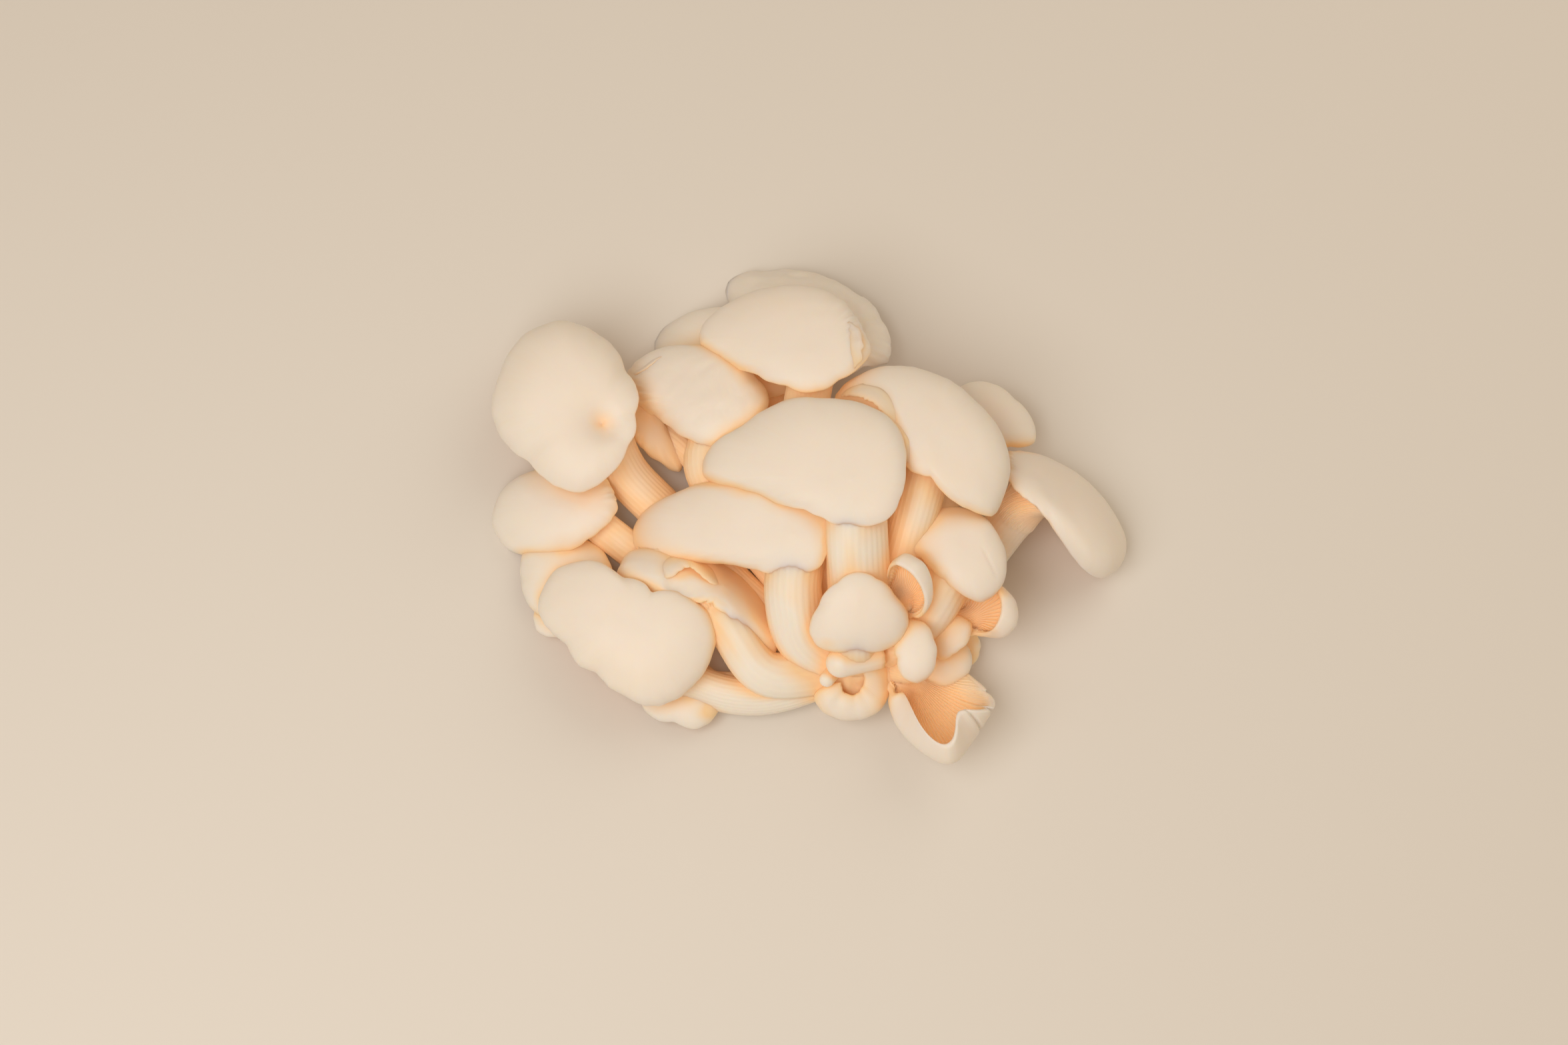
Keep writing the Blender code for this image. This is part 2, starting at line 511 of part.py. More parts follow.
def make_material():
    """Make the cream skin of the cluster."""
    material = bpy.data.materials.new("mushroom skin")
    material.use_nodes = True
    skin = material.node_tree.nodes["Principled BSDF"]
    skin.inputs["Base Color"].default_value = CAP_COLOUR
    skin.inputs["Roughness"].default_value = CAP_ROUGHNESS
    skin.inputs["Metallic"].default_value = 0.0
    return material


def new_collection(name):
    """Make a collection in the scene."""
    collection = bpy.data.collections.new(name)
    bpy.context.scene.collection.children.link(collection)
    return collection


def main():
    """Build the cluster as one fused node, resting on z = 0."""
    for thing in list(bpy.data.objects):
        bpy.data.objects.remove(thing)
    group = new_collection("oyster mushroom cluster")
    growth = new_collection("growth")
    cutters = new_collection("cutters")

    for spec in MUSHROOMS:
        growth.objects.link(loft(spec.name, *mushroom_rings(spec)))
    for number, (place, radius, root) in enumerate(BUDS):
        growth.objects.link(make_bud(f"bud_{number}", place, radius, root))

    cluster = make_foot()
    cluster.name = NODE_NAME
    group.objects.link(cluster)
    add_boolean(cluster, "UNION", "MANIFOLD", group=growth)
    apply_modifiers(cluster)
    for thing in list(growth.objects):
        bpy.data.objects.remove(thing)
    bpy.data.collections.remove(growth)
    keep_largest_body(cluster)

    thin_out = cluster.modifiers.new("Decimate", "DECIMATE")
    thin_out.ratio = min(1.0, TRIANGLE_LIMIT / len(cluster.data.polygons))
    apply_modifiers(cluster)

    bpy.ops.mesh.primitive_cube_add(size=1.0, location=(0.0, 0.0, -0.5 * FLOOR_SLAB[2] * MM))
    slab = bpy.context.object
    slab.name = "floor_cutter"
    slab.scale = [length * MM for length in FLOOR_SLAB]
    slab.hide_render = True
    slab.display_type = "WIRE"
    for collection in slab.users_collection:
        collection.objects.unlink(slab)
    cutters.objects.link(slab)
    add_boolean(cluster, "DIFFERENCE", "MANIFOLD", cutter=slab)
    apply_modifiers(cluster)
    bpy.data.objects.remove(slab)

    keep_largest_body(cluster)
    cluster.data.transform(Matrix.Translation([c * MM for c in PLAN_SHIFT]))
    cluster.data.materials.clear()
    cluster.data.materials.append(make_material())
    cluster.data.name = NODE_NAME
    cluster.data.shade_smooth()
    cluster.data.set_sharp_from_angle(angle=math.radians(SHARP_ANGLE))


main()
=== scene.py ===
"""Oyster mushroom cluster: fine caps, gills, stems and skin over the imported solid.

Places and sizes of the growth are in millimetres, as the solid's source has them, and
PLAN_SHIFT moves them into the frame. Angles are in degrees.
"""

import logging
import math
from dataclasses import dataclass, field
from enum import Enum
from typing import NamedTuple

import bpy
import numpy as np
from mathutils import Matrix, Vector
from mathutils.bvhtree import BVHTree
from mathutils.kdtree import KDTree


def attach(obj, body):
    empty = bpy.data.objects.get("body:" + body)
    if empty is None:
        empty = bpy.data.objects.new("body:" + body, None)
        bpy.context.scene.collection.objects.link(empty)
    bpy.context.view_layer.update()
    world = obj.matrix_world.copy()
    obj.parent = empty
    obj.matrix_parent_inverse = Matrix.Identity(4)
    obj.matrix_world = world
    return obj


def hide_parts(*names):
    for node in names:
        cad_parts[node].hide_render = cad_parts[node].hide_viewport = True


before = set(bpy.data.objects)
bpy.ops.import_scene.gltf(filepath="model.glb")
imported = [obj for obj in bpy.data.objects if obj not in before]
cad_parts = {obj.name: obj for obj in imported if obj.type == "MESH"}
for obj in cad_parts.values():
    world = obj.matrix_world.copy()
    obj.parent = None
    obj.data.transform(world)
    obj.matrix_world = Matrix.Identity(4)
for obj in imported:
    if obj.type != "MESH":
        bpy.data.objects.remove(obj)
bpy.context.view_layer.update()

LOG = logging.getLogger("mushrooms")

MM = 0.001
NODE = "oyster_mushroom_cluster"
BODY = "root"
SLOT = "mushroom_flesh"
PLAN_SHIFT = np.array((-7.6, -8.21, 0.0))
FULL_CIRCLE = 2.0 * math.pi
Place = tuple[float, float, float]
Bumps = tuple[Place, ...]
Colour = tuple[float, float, float, float]
Pairs = tuple[tuple[float, float], ...]


class Counts(NamedTuple):
    """Columns and rings of a cap's skin, of its underside and of its stem."""

    skin_columns: int
    gill_columns: int
    stem_columns: int
    skin_rings: int
    gill_rings: int
    stem_rings: int


class Grain(Enum):
    """How finely a mushroom is drawn."""

    FINE = Counts(144, 432, 108, 44, 24, 44)
    MEDIUM = Counts(112, 288, 72, 34, 18, 30)
    SMALL = Counts(80, 192, 48, 26, 14, 20)


@dataclass(frozen=True)
class Mushroom:
    """One mushroom: a cap round the pole where its stem meets it, and the stem.

    The cap faces along its heading, with pitch lowering its front and roll raising
    its left side. Its margin is a list of bearings from the heading and reaches from
    the pole. crown, rim and curl are the slopes that the skin has at the pole, gains
    on its way out and gains again at the margin. lifts raise the margin near a bearing
    and rolls curl it further there, each with a bearing, a spread and an amount.
    """

    name: str
    pole: Place
    heading: float
    margin: Pairs
    path: tuple[Place, ...]
    pitch: float = 0.0
    roll: float = 0.0
    crown: float = 6.0
    rim: float = 75.0
    curl: float = 20.0
    curl_start: float = 0.72
    flesh: float = 8.0
    stem_top: float = 7.0
    stem_foot: float = 6.0
    lifts: Bumps = ()
    rolls: Bumps = ()


MUSHROOMS = (
    Mushroom("left_dimpled", (-58.6, 29.4, 33), 163, ((-150, 11), (-93, 20), (-75, 31), (-51, 43), (-33, 45),
        (-13, 41), (3, 39), (24, 32), (41, 26), (66, 25), (90, 24), (117, 18), (153, 12)), ((-52, 20, 14),
        (-39.9, 8, 9), (-25.4, -9, 10), (-4, -30, 11), (20, -42, 10)), pitch=8, crown=-54, rim=78,
        stem_top=7.5, stem_foot=7),
    Mushroom("left_small", (-66.3, 5.2, 22), 172, ((-176, 12), (-136, 12), (-101, 14), (-63, 17), (-35, 22),
        (-11, 30), (9, 32), (27, 29), (45, 22), (71, 15), (108, 11), (141, 10)), ((-55.5, -1, 10),
        (-40, -12, 8), (-18, -20, 9)), pitch=8, roll=-8, rim=82, curl=25, flesh=6, stem_top=5.5, stem_foot=5),
    Mushroom("left_under", (-66.2, -16.4, 15), 185, ((-147, 12), (-98, 15), (-60, 19), (-38, 22), (-12, 19),
        (28, 17), (70, 16), (116, 14), (167, 11)), ((-50, -18, 6), (-34, -20, 8), (-16, -22, 9)), flesh=5,
        stem_top=5, stem_foot=4.5),
    Mushroom("left_lobe", (-72.7, -27, 9), 205, ((-147, 6), (-81, 7), (-37, 8), (9, 8), (53, 7), (108, 7),
        (161, 6)), ((-64, -24, 5), (-54, -20, 6)), rim=80, flesh=3.5, stem_top=3, stem_foot=3.5),
    Mushroom("front_left_kidney", (-44.6, -36.4, 33), 237, ((-166, 9), (-120, 16), (-114, 24), (-103, 30),
        (-91, 35), (-77, 37), (-68, 36), (-55, 31), (-46, 26), (-29, 25), (-12, 22), (8, 23), (28, 25),
        (45, 26), (66, 25), (88, 24), (116, 23), (134, 20), (153, 16)), ((-38, -46, 16), (-27.7, -51, 10),
        (-9.5, -54.5, 8), (10, -50, 9), (22, -44, 9)), pitch=8, rim=82, curl=35, stem_top=6),
    Mushroom("front_left_under", (-31.2, -52.4, 12), 235, ((-131, 10), (-82, 12), (-36, 15), (16, 11),
        (51, 13), (98, 12), (130, 12), (173, 11)), ((-24, -51, 6), (-10, -52, 8)), rim=70, flesh=5,
        stem_top=5, stem_foot=5),
    Mushroom("middle_long", (2.4, -12.5, 44), 172, ((-121, 12), (-62, 16), (-36, 30), (-19, 43), (-6, 57),
        (4, 59), (11, 52), (14, 41), (18, 29), (28, 21), (45, 16), (70, 13), (95, 12), (133, 13), (172, 11)),
        ((3, -26, 30), (6.5, -38, 21), (16, -43, 14), (24, -44, 10)), pitch=10, roll=-12, rim=85, curl=45,
        rolls=((20, 20, 50),), stem_top=9.5, stem_foot=9),
    Mushroom("crown_middle", (20.8, 1.4, 56), 160, ((-176, 16), (-144, 17), (-115, 22), (-95, 26), (-78, 28),
        (-52, 33), (-36, 39), (-13, 44), (-2, 51), (8, 52), (13, 46), (16, 36), (21, 30), (32, 23), (46, 17),
        (70, 14.5), (113, 14), (152, 16)), ((22.5, -13, 42), (24, -30, 26), (25, -42, 12)), pitch=5, roll=-5,
        rim=72, curl=40, stem_top=9.5, stem_foot=9.5),
    Mushroom("crown_back", (8, 48, 46), 150, ((-160, 16), (-141, 19), (-118, 20), (-95, 23), (-66, 29),
        (-38, 33), (-13, 39), (2, 42), (11, 40), (19, 30), (39, 18), (80, 12), (115, 12), (169, 12)),
        ((7, 32, 34), (11, 4, 26), (20, -28, 16), (24, -42, 10)), pitch=6, rim=78, curl=40, stem_foot=7),
    Mushroom("back_withered", (10.4, 60.1, 25), 100, ((-122, 16), (-105, 24), (-90, 25), (-68, 26), (-29, 31),
        (-3, 39), (13, 43), (24, 48), (33, 47), (40, 34), (58, 24), (91, 16), (179, 9)), ((7, 40, 14),
        (12, 10, 12), (20, -20, 11), (24, -38, 10)), pitch=8, rim=70, curl=10, flesh=4.5, stem_top=5,
        stem_foot=5),
    Mushroom("back_left", (-6.9, 55.6, 21), 160, ((-169, 12), (-123, 12), (-73, 16), (-35, 33), (-21, 39),
        (-12, 42), (1, 42), (9, 32), (29, 18), (85, 11), (145, 12)), ((-2, 36, 12), (5, 10, 11),
        (16, -20, 11)), pitch=6, flesh=6, stem_top=5.5, stem_foot=5),
    Mushroom("upper_left", (-20.2, 35.4, 36), 155, ((-178, 13), (-146, 15), (-109, 15), (-76, 20), (-56, 25),
        (-38, 30), (-25, 36), (-11, 40), (-1, 39), (8, 34), (21, 23), (38, 18), (64, 15), (95, 14),
        (131, 12)), ((-24.6, 19.6, 23), (-14, 2, 17), (6, -24, 13), (20, -42, 10)), pitch=8, rim=85, curl=45,
        stem_top=8.5, stem_foot=6.5),
    Mushroom("folded_under", (-44.9, 38, 20), -55, ((-150, 7), (-110, 6.5), (-73, 7), (-37, 11), (-17, 15),
        (-4, 20.5), (3, 21.5), (9, 16), (16, 10.5), (30, 7), (70, 5.5), (120, 6.5), (170, 7)), ((-34, 30, 12),
        (-20, 14, 12), (-8, 0, 13)), pitch=8, rim=85, curl=60, flesh=4, stem_top=4, stem_foot=4.5),
    Mushroom("crown_right", (45.3, 14.8, 50), 53, ((-139, 9), (-120, 16), (-110, 21), (-96, 28), (-73, 27),
        (-48, 26), (-26, 25), (0, 25), (15, 27), (31, 30), (56, 35), (66, 37), (79, 38), (87, 39), (92, 38),
        (96, 27), (101, 17), (109, 12), (126, 9), (171, 9)), ((42, 1, 36), (36, -18, 24), (28, -38, 12)),
        rim=78, curl=25, stem_top=8, stem_foot=8, rolls=((100, 14, -70), (140, 20, 40))),
    Mushroom("back_right", (67, 35.8, 20), 50, ((-156, 8), (-99, 10), (-70, 16), (-51, 15), (-3, 12),
        (45, 16), (74, 17), (93, 15), (127, 9)), ((56, 18, 13), (45, -8, 13), (32, -32, 11)), rim=80, curl=40,
        flesh=5, stem_top=5, stem_foot=5),
    Mushroom("right_shell", (80.6, 10.5, 30), -33, ((-113, 7), (-60, 9), (-38, 13), (-24, 20), (-13, 28),
        (-4, 32), (4, 35), (16, 38), (33, 39), (48, 37), (66, 33), (85, 29), (104, 27), (133, 22), (167, 10)),
        ((73.5, 3, 16), (62, -11, 12), (44, -30, 10), (32, -40, 10)), pitch=3, roll=-36, rim=85, curl=45,
        stem_foot=6.5),
    Mushroom("right_small", (54.2, -16.2, 40), 50, ((-175, 8), (-140, 12), (-122, 15), (-112, 17), (-84, 17),
        (-54, 16), (-25, 15), (2, 16), (48, 17), (83, 18), (109, 20), (136, 11)), ((49.5, -26, 27),
        (40, -36, 16), (30, -42, 11)), rim=80, curl=30, flesh=6, stem_top=8, stem_foot=7.5),
    Mushroom("front_dome", (22.8, -35.4, 45), 90, ((-173, 17), (-152, 18.5), (-133, 19.5), (-112, 17.5),
        (-84, 12), (-40, 9), (3, 9), (48, 8.5), (99, 12), (125, 18.5), (140, 19.5), (161, 18)),
        ((22.5, -42, 30), (23, -45, 18), (25, -45, 10)), pitch=-25, rim=88, curl=10, flesh=7, stem_top=6.5,
        stem_foot=7),
    Mushroom("side_ring", (38.5, -30.5, 29), 78, ((-120, 5), (-90, 7), (-60, 8), (-30, 11), (0, 18.5),
        (25, 18), (50, 14), (80, 10), (120, 5), (170, 4)), ((37, -37, 23), (31, -41, 14)), pitch=-35,
        roll=155, curl=60, curl_start=0.5, flesh=2.6, stem_top=2.6, rolls=((-70, 40, 40),), stem_foot=4),
    Mushroom("button", (40.9, -46.9, 34), 270, ((-170, 11), (-144, 9), (-113, 7), (-67, 6), (-23, 9), (2, 10),
        (27, 9), (68, 7), (124, 7), (162, 10)), ((38, -44, 26), (33, -43, 18), (28, -42, 11)), pitch=5,
        rim=88, curl=5, flesh=5, stem_top=4, stem_foot=5),
    Mushroom("right_hook", (59.5, -32, 15), -8, ((-150, 5), (-100, 8), (-75, 11), (-58, 13), (-30, 16),
        (-5, 18), (12, 18), (25, 16), (38, 10), (60, 6), (110, 5), (170, 5)), ((52, -34, 14), (44, -39, 12),
        (34, -42, 11)), pitch=-20, roll=180, rim=50, curl=90, curl_start=0.4, flesh=2.6, stem_top=3,
        stem_foot=4),
    Mushroom("right_petal", (51.2, -40, 22), 35, ((-149, 7), (-110, 5), (-72, 5), (-21, 7.5), (0, 9),
        (40, 8.5), (75, 7), (113, 6.5), (150, 6)), ((44, -41, 15), (34, -42, 11)), pitch=-20, rim=85, flesh=3,
        stem_top=3.5, stem_foot=4.5),
    Mushroom("front_right_dome", (50.7, -45.2, 17), -60, ((-165, 6), (-126, 7), (-83, 10), (-53, 8), (9, 8),
        (56, 9), (92, 10), (112, 10)), ((46, -44, 10), (36, -43, 9)), rim=85, flesh=4, stem_top=4,
        stem_foot=4.5),
    Mushroom("right_behind", (57.8, -38.5, 9), -40, ((-145, 5), (-77, 6), (-43, 6), (33, 5), (102, 7),
        (148, 6)), ((52, -39, 6), (46, -41, 8)), rim=80, flesh=3, stem_top=3, stem_foot=4),
    Mushroom("gill_fan", (38.3, -48.5, 12), -60, ((-150, 6), (-100, 7), (-80, 12), (-60, 20), (-42, 28),
        (-24, 28.5), (-9, 30), (3, 32), (9, 32.5), (27, 23), (45, 15), (73, 8), (112, 6)), ((34, -46, 11),
        (28, -44, 8)), pitch=14, roll=180, rim=40, curl=50, curl_start=0.25, flesh=3.5, stem_top=3.6,
        rolls=((45, 26, 120), (-14, 22, 70), (-65, 26, -50))),
    Mushroom("folded_middle", (-19, -24, 27), 145, ((-165, 24), (-140, 19), (-105, 16), (-80, 17), (-50, 22),
        (-25, 29), (-5, 34), (15, 32), (35, 20), (60, 10), (90, 8), (130, 9), (165, 18), (180, 25)),
        ((-17, -36, 21), (-6, -49, 16), (10, -47.5, 12.5), (22, -44, 10)), roll=38, pitch=-4, rim=85, curl=30,
        flesh=5, stem_foot=7.5, rolls=((40, 40, 40),)),
    Mushroom("front_crescent", (21.2, -52, 5), 283, ((-145, 6), (-118, 12), (-105, 13), (-75, 12.5),
        (-37, 12.5), (5, 11.5), (50, 12), (82, 14), (100, 9), (130, 5), (170, 5)), ((22, -49, 9),
        (23, -45, 9)), roll=180, rim=45, curl=145, curl_start=0.1, flesh=2.6, stem_top=3, stem_foot=5,
        lifts=((-110, 32, -5),)),
)


# Mushrooms that are drawn finer or coarser than their size calls for.
GRAINS = {"gill_fan": Grain.FINE, "back_left": Grain.MEDIUM, "back_withered": Grain.MEDIUM}


@dataclass(frozen=True)
class Crack:
    """A split in the skin, from its wide end at the margin to its fine end."""

    start: tuple[float, float]
    end: tuple[float, float]
    width: float = 0.7
    depth: float = 1.6


@dataclass(frozen=True)
class Touch:
    """What one mushroom has beyond its plain form.

    nicks cut the margin back near a bearing. folds ripple the margin there, each with a
    bearing, a spread, a height and a number of ripples. dents sink the skin round a place
    in plan, each with a radius and a depth. cracks split the skin. waves roughen the whole
    margin, lumps the skin, and wrinkles crease it. lip is the margin's thickness, and
    gill_depth a share of the usual depth of the gills.
    """

    nicks: Bumps = ()
    folds: tuple[tuple[float, float, float, int], ...] = ()
    cracks: tuple[Crack, ...] = ()
    dents: tuple[tuple[float, float, float, float], ...] = ()
    waves: float = 0.22
    lumps: float = 0.45
    wrinkles: float = 0.0
    lip: float = 1.1
    gill_depth: float = 1.0


TOUCHES = {
    "left_dimpled": Touch(dents=((-56.8, 27.2, 5, 2.6),)),
    "left_small": Touch(folds=((-160, 30, 1, 22),)),
    "front_left_kidney": Touch(lumps=0.6, waves=0.35),
    "middle_long": Touch(lumps=0.6),
    "crown_middle": Touch(waves=0.3),
    "crown_back": Touch(folds=((-110, 30, 1, 36),), waves=0.3),
    "back_withered": Touch(folds=((40, 16, 2.2, 26), (-90, 50, 0.6, 30)), waves=0.4, lumps=0.9, wrinkles=1,
        lip=0.9),
    "upper_left": Touch(folds=((8, 13, 1.6, 60),), lumps=0.8, waves=0.3, wrinkles=0.25),
    "folded_under": Touch(lumps=0.8, folds=((-20, 40, 0.7, 26),)),
    "crown_right": Touch(nicks=((88, 1.6, 1), (96, 1.5, 1.4), (103, 1.5, 1), (112, 2, 0.8)), waves=0.3),
    "right_shell": Touch(folds=((150, 25, 0.8, 40),), waves=0.3),
    "right_small": Touch(cracks=(Crack((64, -19), (61.5, -14), 0.35, 0.5),)),
    "gill_fan": Touch(nicks=((-47, 1.2, 0.9), (-33, 0.9, 1.6), (-20, 0.9, 1.1)), waves=0.35, lip=2,
        gill_depth=0.65),
    "front_crescent": Touch(lip=1.8, waves=0.4),
    "side_ring": Touch(lip=1.6, waves=0.3),
    "folded_middle": Touch(nicks=((95, 6, 1), (80, 3, 1.2)), waves=0.5, dents=((-34, -24, 3.4, 2.6),
        (-28.5, -26.5, 3.2, 2.2))),
    "right_hook": Touch(waves=0.4, lip=1.7, nicks=((-75, 5, 1),)),
}


WAVE_COUNT = 7
WAVE_STRETCH = (0.7, 1.5)
WAVE_DIVISOR = 4.0


def waves(points: np.ndarray, size: float, seed: int) -> np.ndarray:
    """Smooth noise from a few crossed sine waves.

    Args:
        points: Places in millimetres, with the three coordinates last.
        size: The usual distance between two crests, in millimetres.
        seed: Fixes the directions and phases.

    Returns:
        A value between about -1 and 1 for each place.
    """
    dice = np.random.RandomState(seed)
    total = np.zeros(points.shape[:-1])
    for _ in range(WAVE_COUNT):
        direction = dice.normal(size=3)
        direction /= np.linalg.norm(direction)
        pace = FULL_CIRCLE / (size * dice.uniform(*WAVE_STRETCH))
        total += np.sin(points @ direction * pace + dice.uniform(0.0, FULL_CIRCLE))
    return total / WAVE_DIVISOR


def layered(points: np.ndarray, layers: Pairs, seed: int) -> np.ndarray:
    """Add up waves of several sizes, each layer a share and a size in millimetres."""
    return sum(share * waves(points, size, seed + i) for i, (share, size) in enumerate(layers))


def between(t: float, span: np.ndarray | float, start: tuple[np.ndarray, np.ndarray],
            end: tuple[np.ndarray, np.ndarray]) -> np.ndarray:
    """Place points on smooth curves.

    Args:
        t: Share of the way.
        span: Length of the way.
        start: Places and directions at the start.
        end: Places and directions at the end.

    Returns:
        The places at that share.
    """
    return ((2 * t**3 - 3 * t**2 + 1) * start[0] + (t**3 - 2 * t**2 + t) * span * start[1]
            + (3 * t**2 - 2 * t**3) * end[0] + (t**3 - t**2) * span * end[1])


def smooth(value: np.ndarray, low: float, high: float) -> np.ndarray:
    """Ease from 0 at low to 1 at high."""
    part = np.clip((value - low) / (high - low), 0.0, 1.0)
    return part * part * (3.0 - 2.0 * part)


def bumps(bearings: np.ndarray, items: Bumps) -> np.ndarray:
    """Sum smooth bumps round the cap.

    Args:
        bearings: Bearings from the heading, in degrees.
        items: A bearing, a spread and an amount for each bump.

    Returns:
        The summed amount at each bearing.
    """
    total = np.zeros_like(bearings)
    for centre, spread, amount in items:
        away = (bearings - centre + 180.0) % 360.0 - 180.0
        total += amount * np.exp(-(away / spread) ** 2)
    return total


def carried(vector: np.ndarray, direction: np.ndarray) -> np.ndarray:
    """Make a vector square to a direction, at unit length."""
    flat = vector - direction * np.dot(vector, direction)
    return flat / np.linalg.norm(flat)


def settle(heights: np.ndarray, soft: float) -> None:
    """Ease heights that would pass below the ground back onto it.

    Args:
        heights: The heights, changed in place.
        soft: The height at which the easing begins.
    """
    low = heights < soft
    heights[low] = soft * np.exp((heights[low] - soft) / soft)


# Heights in millimetres below which points ease back onto the ground, before and after the relief.
SETTLE = 1.2
RELIEF_SETTLE = 0.4
PROFILE_STEPS = 160


@dataclass
class MeshSheet:
    """Rings of points that grow into one closed skin, with a value for each attribute."""

    points: list[np.ndarray] = field(default_factory=list)
    traits: list[np.ndarray] = field(default_factory=list)
    faces: list[tuple[int, ...]] = field(default_factory=list)
    count: int = 0
    last: range = range(0)

    TRAITS = ("sweep", "radial", "gills", "short_gills", "ribs")

    def add_ring(self, ring: np.ndarray, **traits: np.ndarray | float) -> None:
        """Add a ring and join it to the one before.

        Args:
            ring: Its points in millimetres.
            **traits: The value of each named attribute, for the ring or for each point.
        """
        sweep = np.arange(len(ring)) / len(ring)
        values = {"sweep": sweep, **traits}
        table = [np.broadcast_to(values.get(name, 0.0), (len(ring),)) for name in self.TRAITS]
        self.points.append(ring)
        self.traits.append(np.stack(table, axis=1))
        numbers = range(self.count, self.count + len(ring))
        self.count += len(ring)
        if len(self.last) == 1:
            start = self.last[0]
            self.faces.extend((start, number, numbers[(k + 1) % len(numbers)])
                              for k, number in enumerate(numbers))
        elif len(self.last) == len(numbers):
            shift = len(numbers)
            for k in range(len(numbers)):
                a, b = self.last[k], self.last[(k + 1) % shift]
                self.faces.append((a, a + shift, b + shift, b))
        elif len(self.last):
            self._bridge(self.last, numbers)
        self.last = numbers

    def add_pole(self, point: np.ndarray, **traits: float) -> None:
        """Add the point that starts or ends the skin."""
        table = [traits.get(name, 0.0) for name in self.TRAITS]
        self.points.append(np.array([point]))
        self.traits.append(np.array([table]))
        if len(self.last):
            ring = self.last
            self.faces.extend((self.count, ring[(k + 1) % len(ring)], ring[k]) for k in range(len(ring)))
        self.last = range(self.count, self.count + 1)
        self.count += 1

    def _bridge(self, first: range, second: range) -> None:
        """Join two rings whose numbers of points differ."""
        i = j = 0
        while i < len(first) or j < len(second):
            a, b = first[i % len(first)], second[j % len(second)]
            if (i + 1) * len(second) <= (j + 1) * len(first) and i < len(first):
                self.faces.append((a, b, first[(i + 1) % len(first)]))
                i += 1
            else:
                self.faces.append((a, b, second[(j + 1) % len(second)]))
                j += 1

    def to_object(self, name: str) -> bpy.types.Object:
        """Make the mesh object, in metres and in the frame.

        Args:
            name: The piece's name.

        Returns:
            The object, linked to the scene, with its attributes.
        """
        points = np.concatenate(self.points) + PLAN_SHIFT
        settle(points[:, 2], SETTLE)
        mesh = bpy.data.meshes.new(name)
        mesh.from_pydata((points * MM).tolist(), [], self.faces)
        values = np.concatenate(self.traits)
        for column, trait in enumerate(self.TRAITS):
            layer = mesh.attributes.new(trait, "FLOAT", "POINT")
            layer.data.foreach_set("value", values[:, column].astype(np.float32))
        mesh.shade_smooth()
        piece = bpy.data.objects.new(name, mesh)
        bpy.context.scene.collection.objects.link(piece)
        return piece


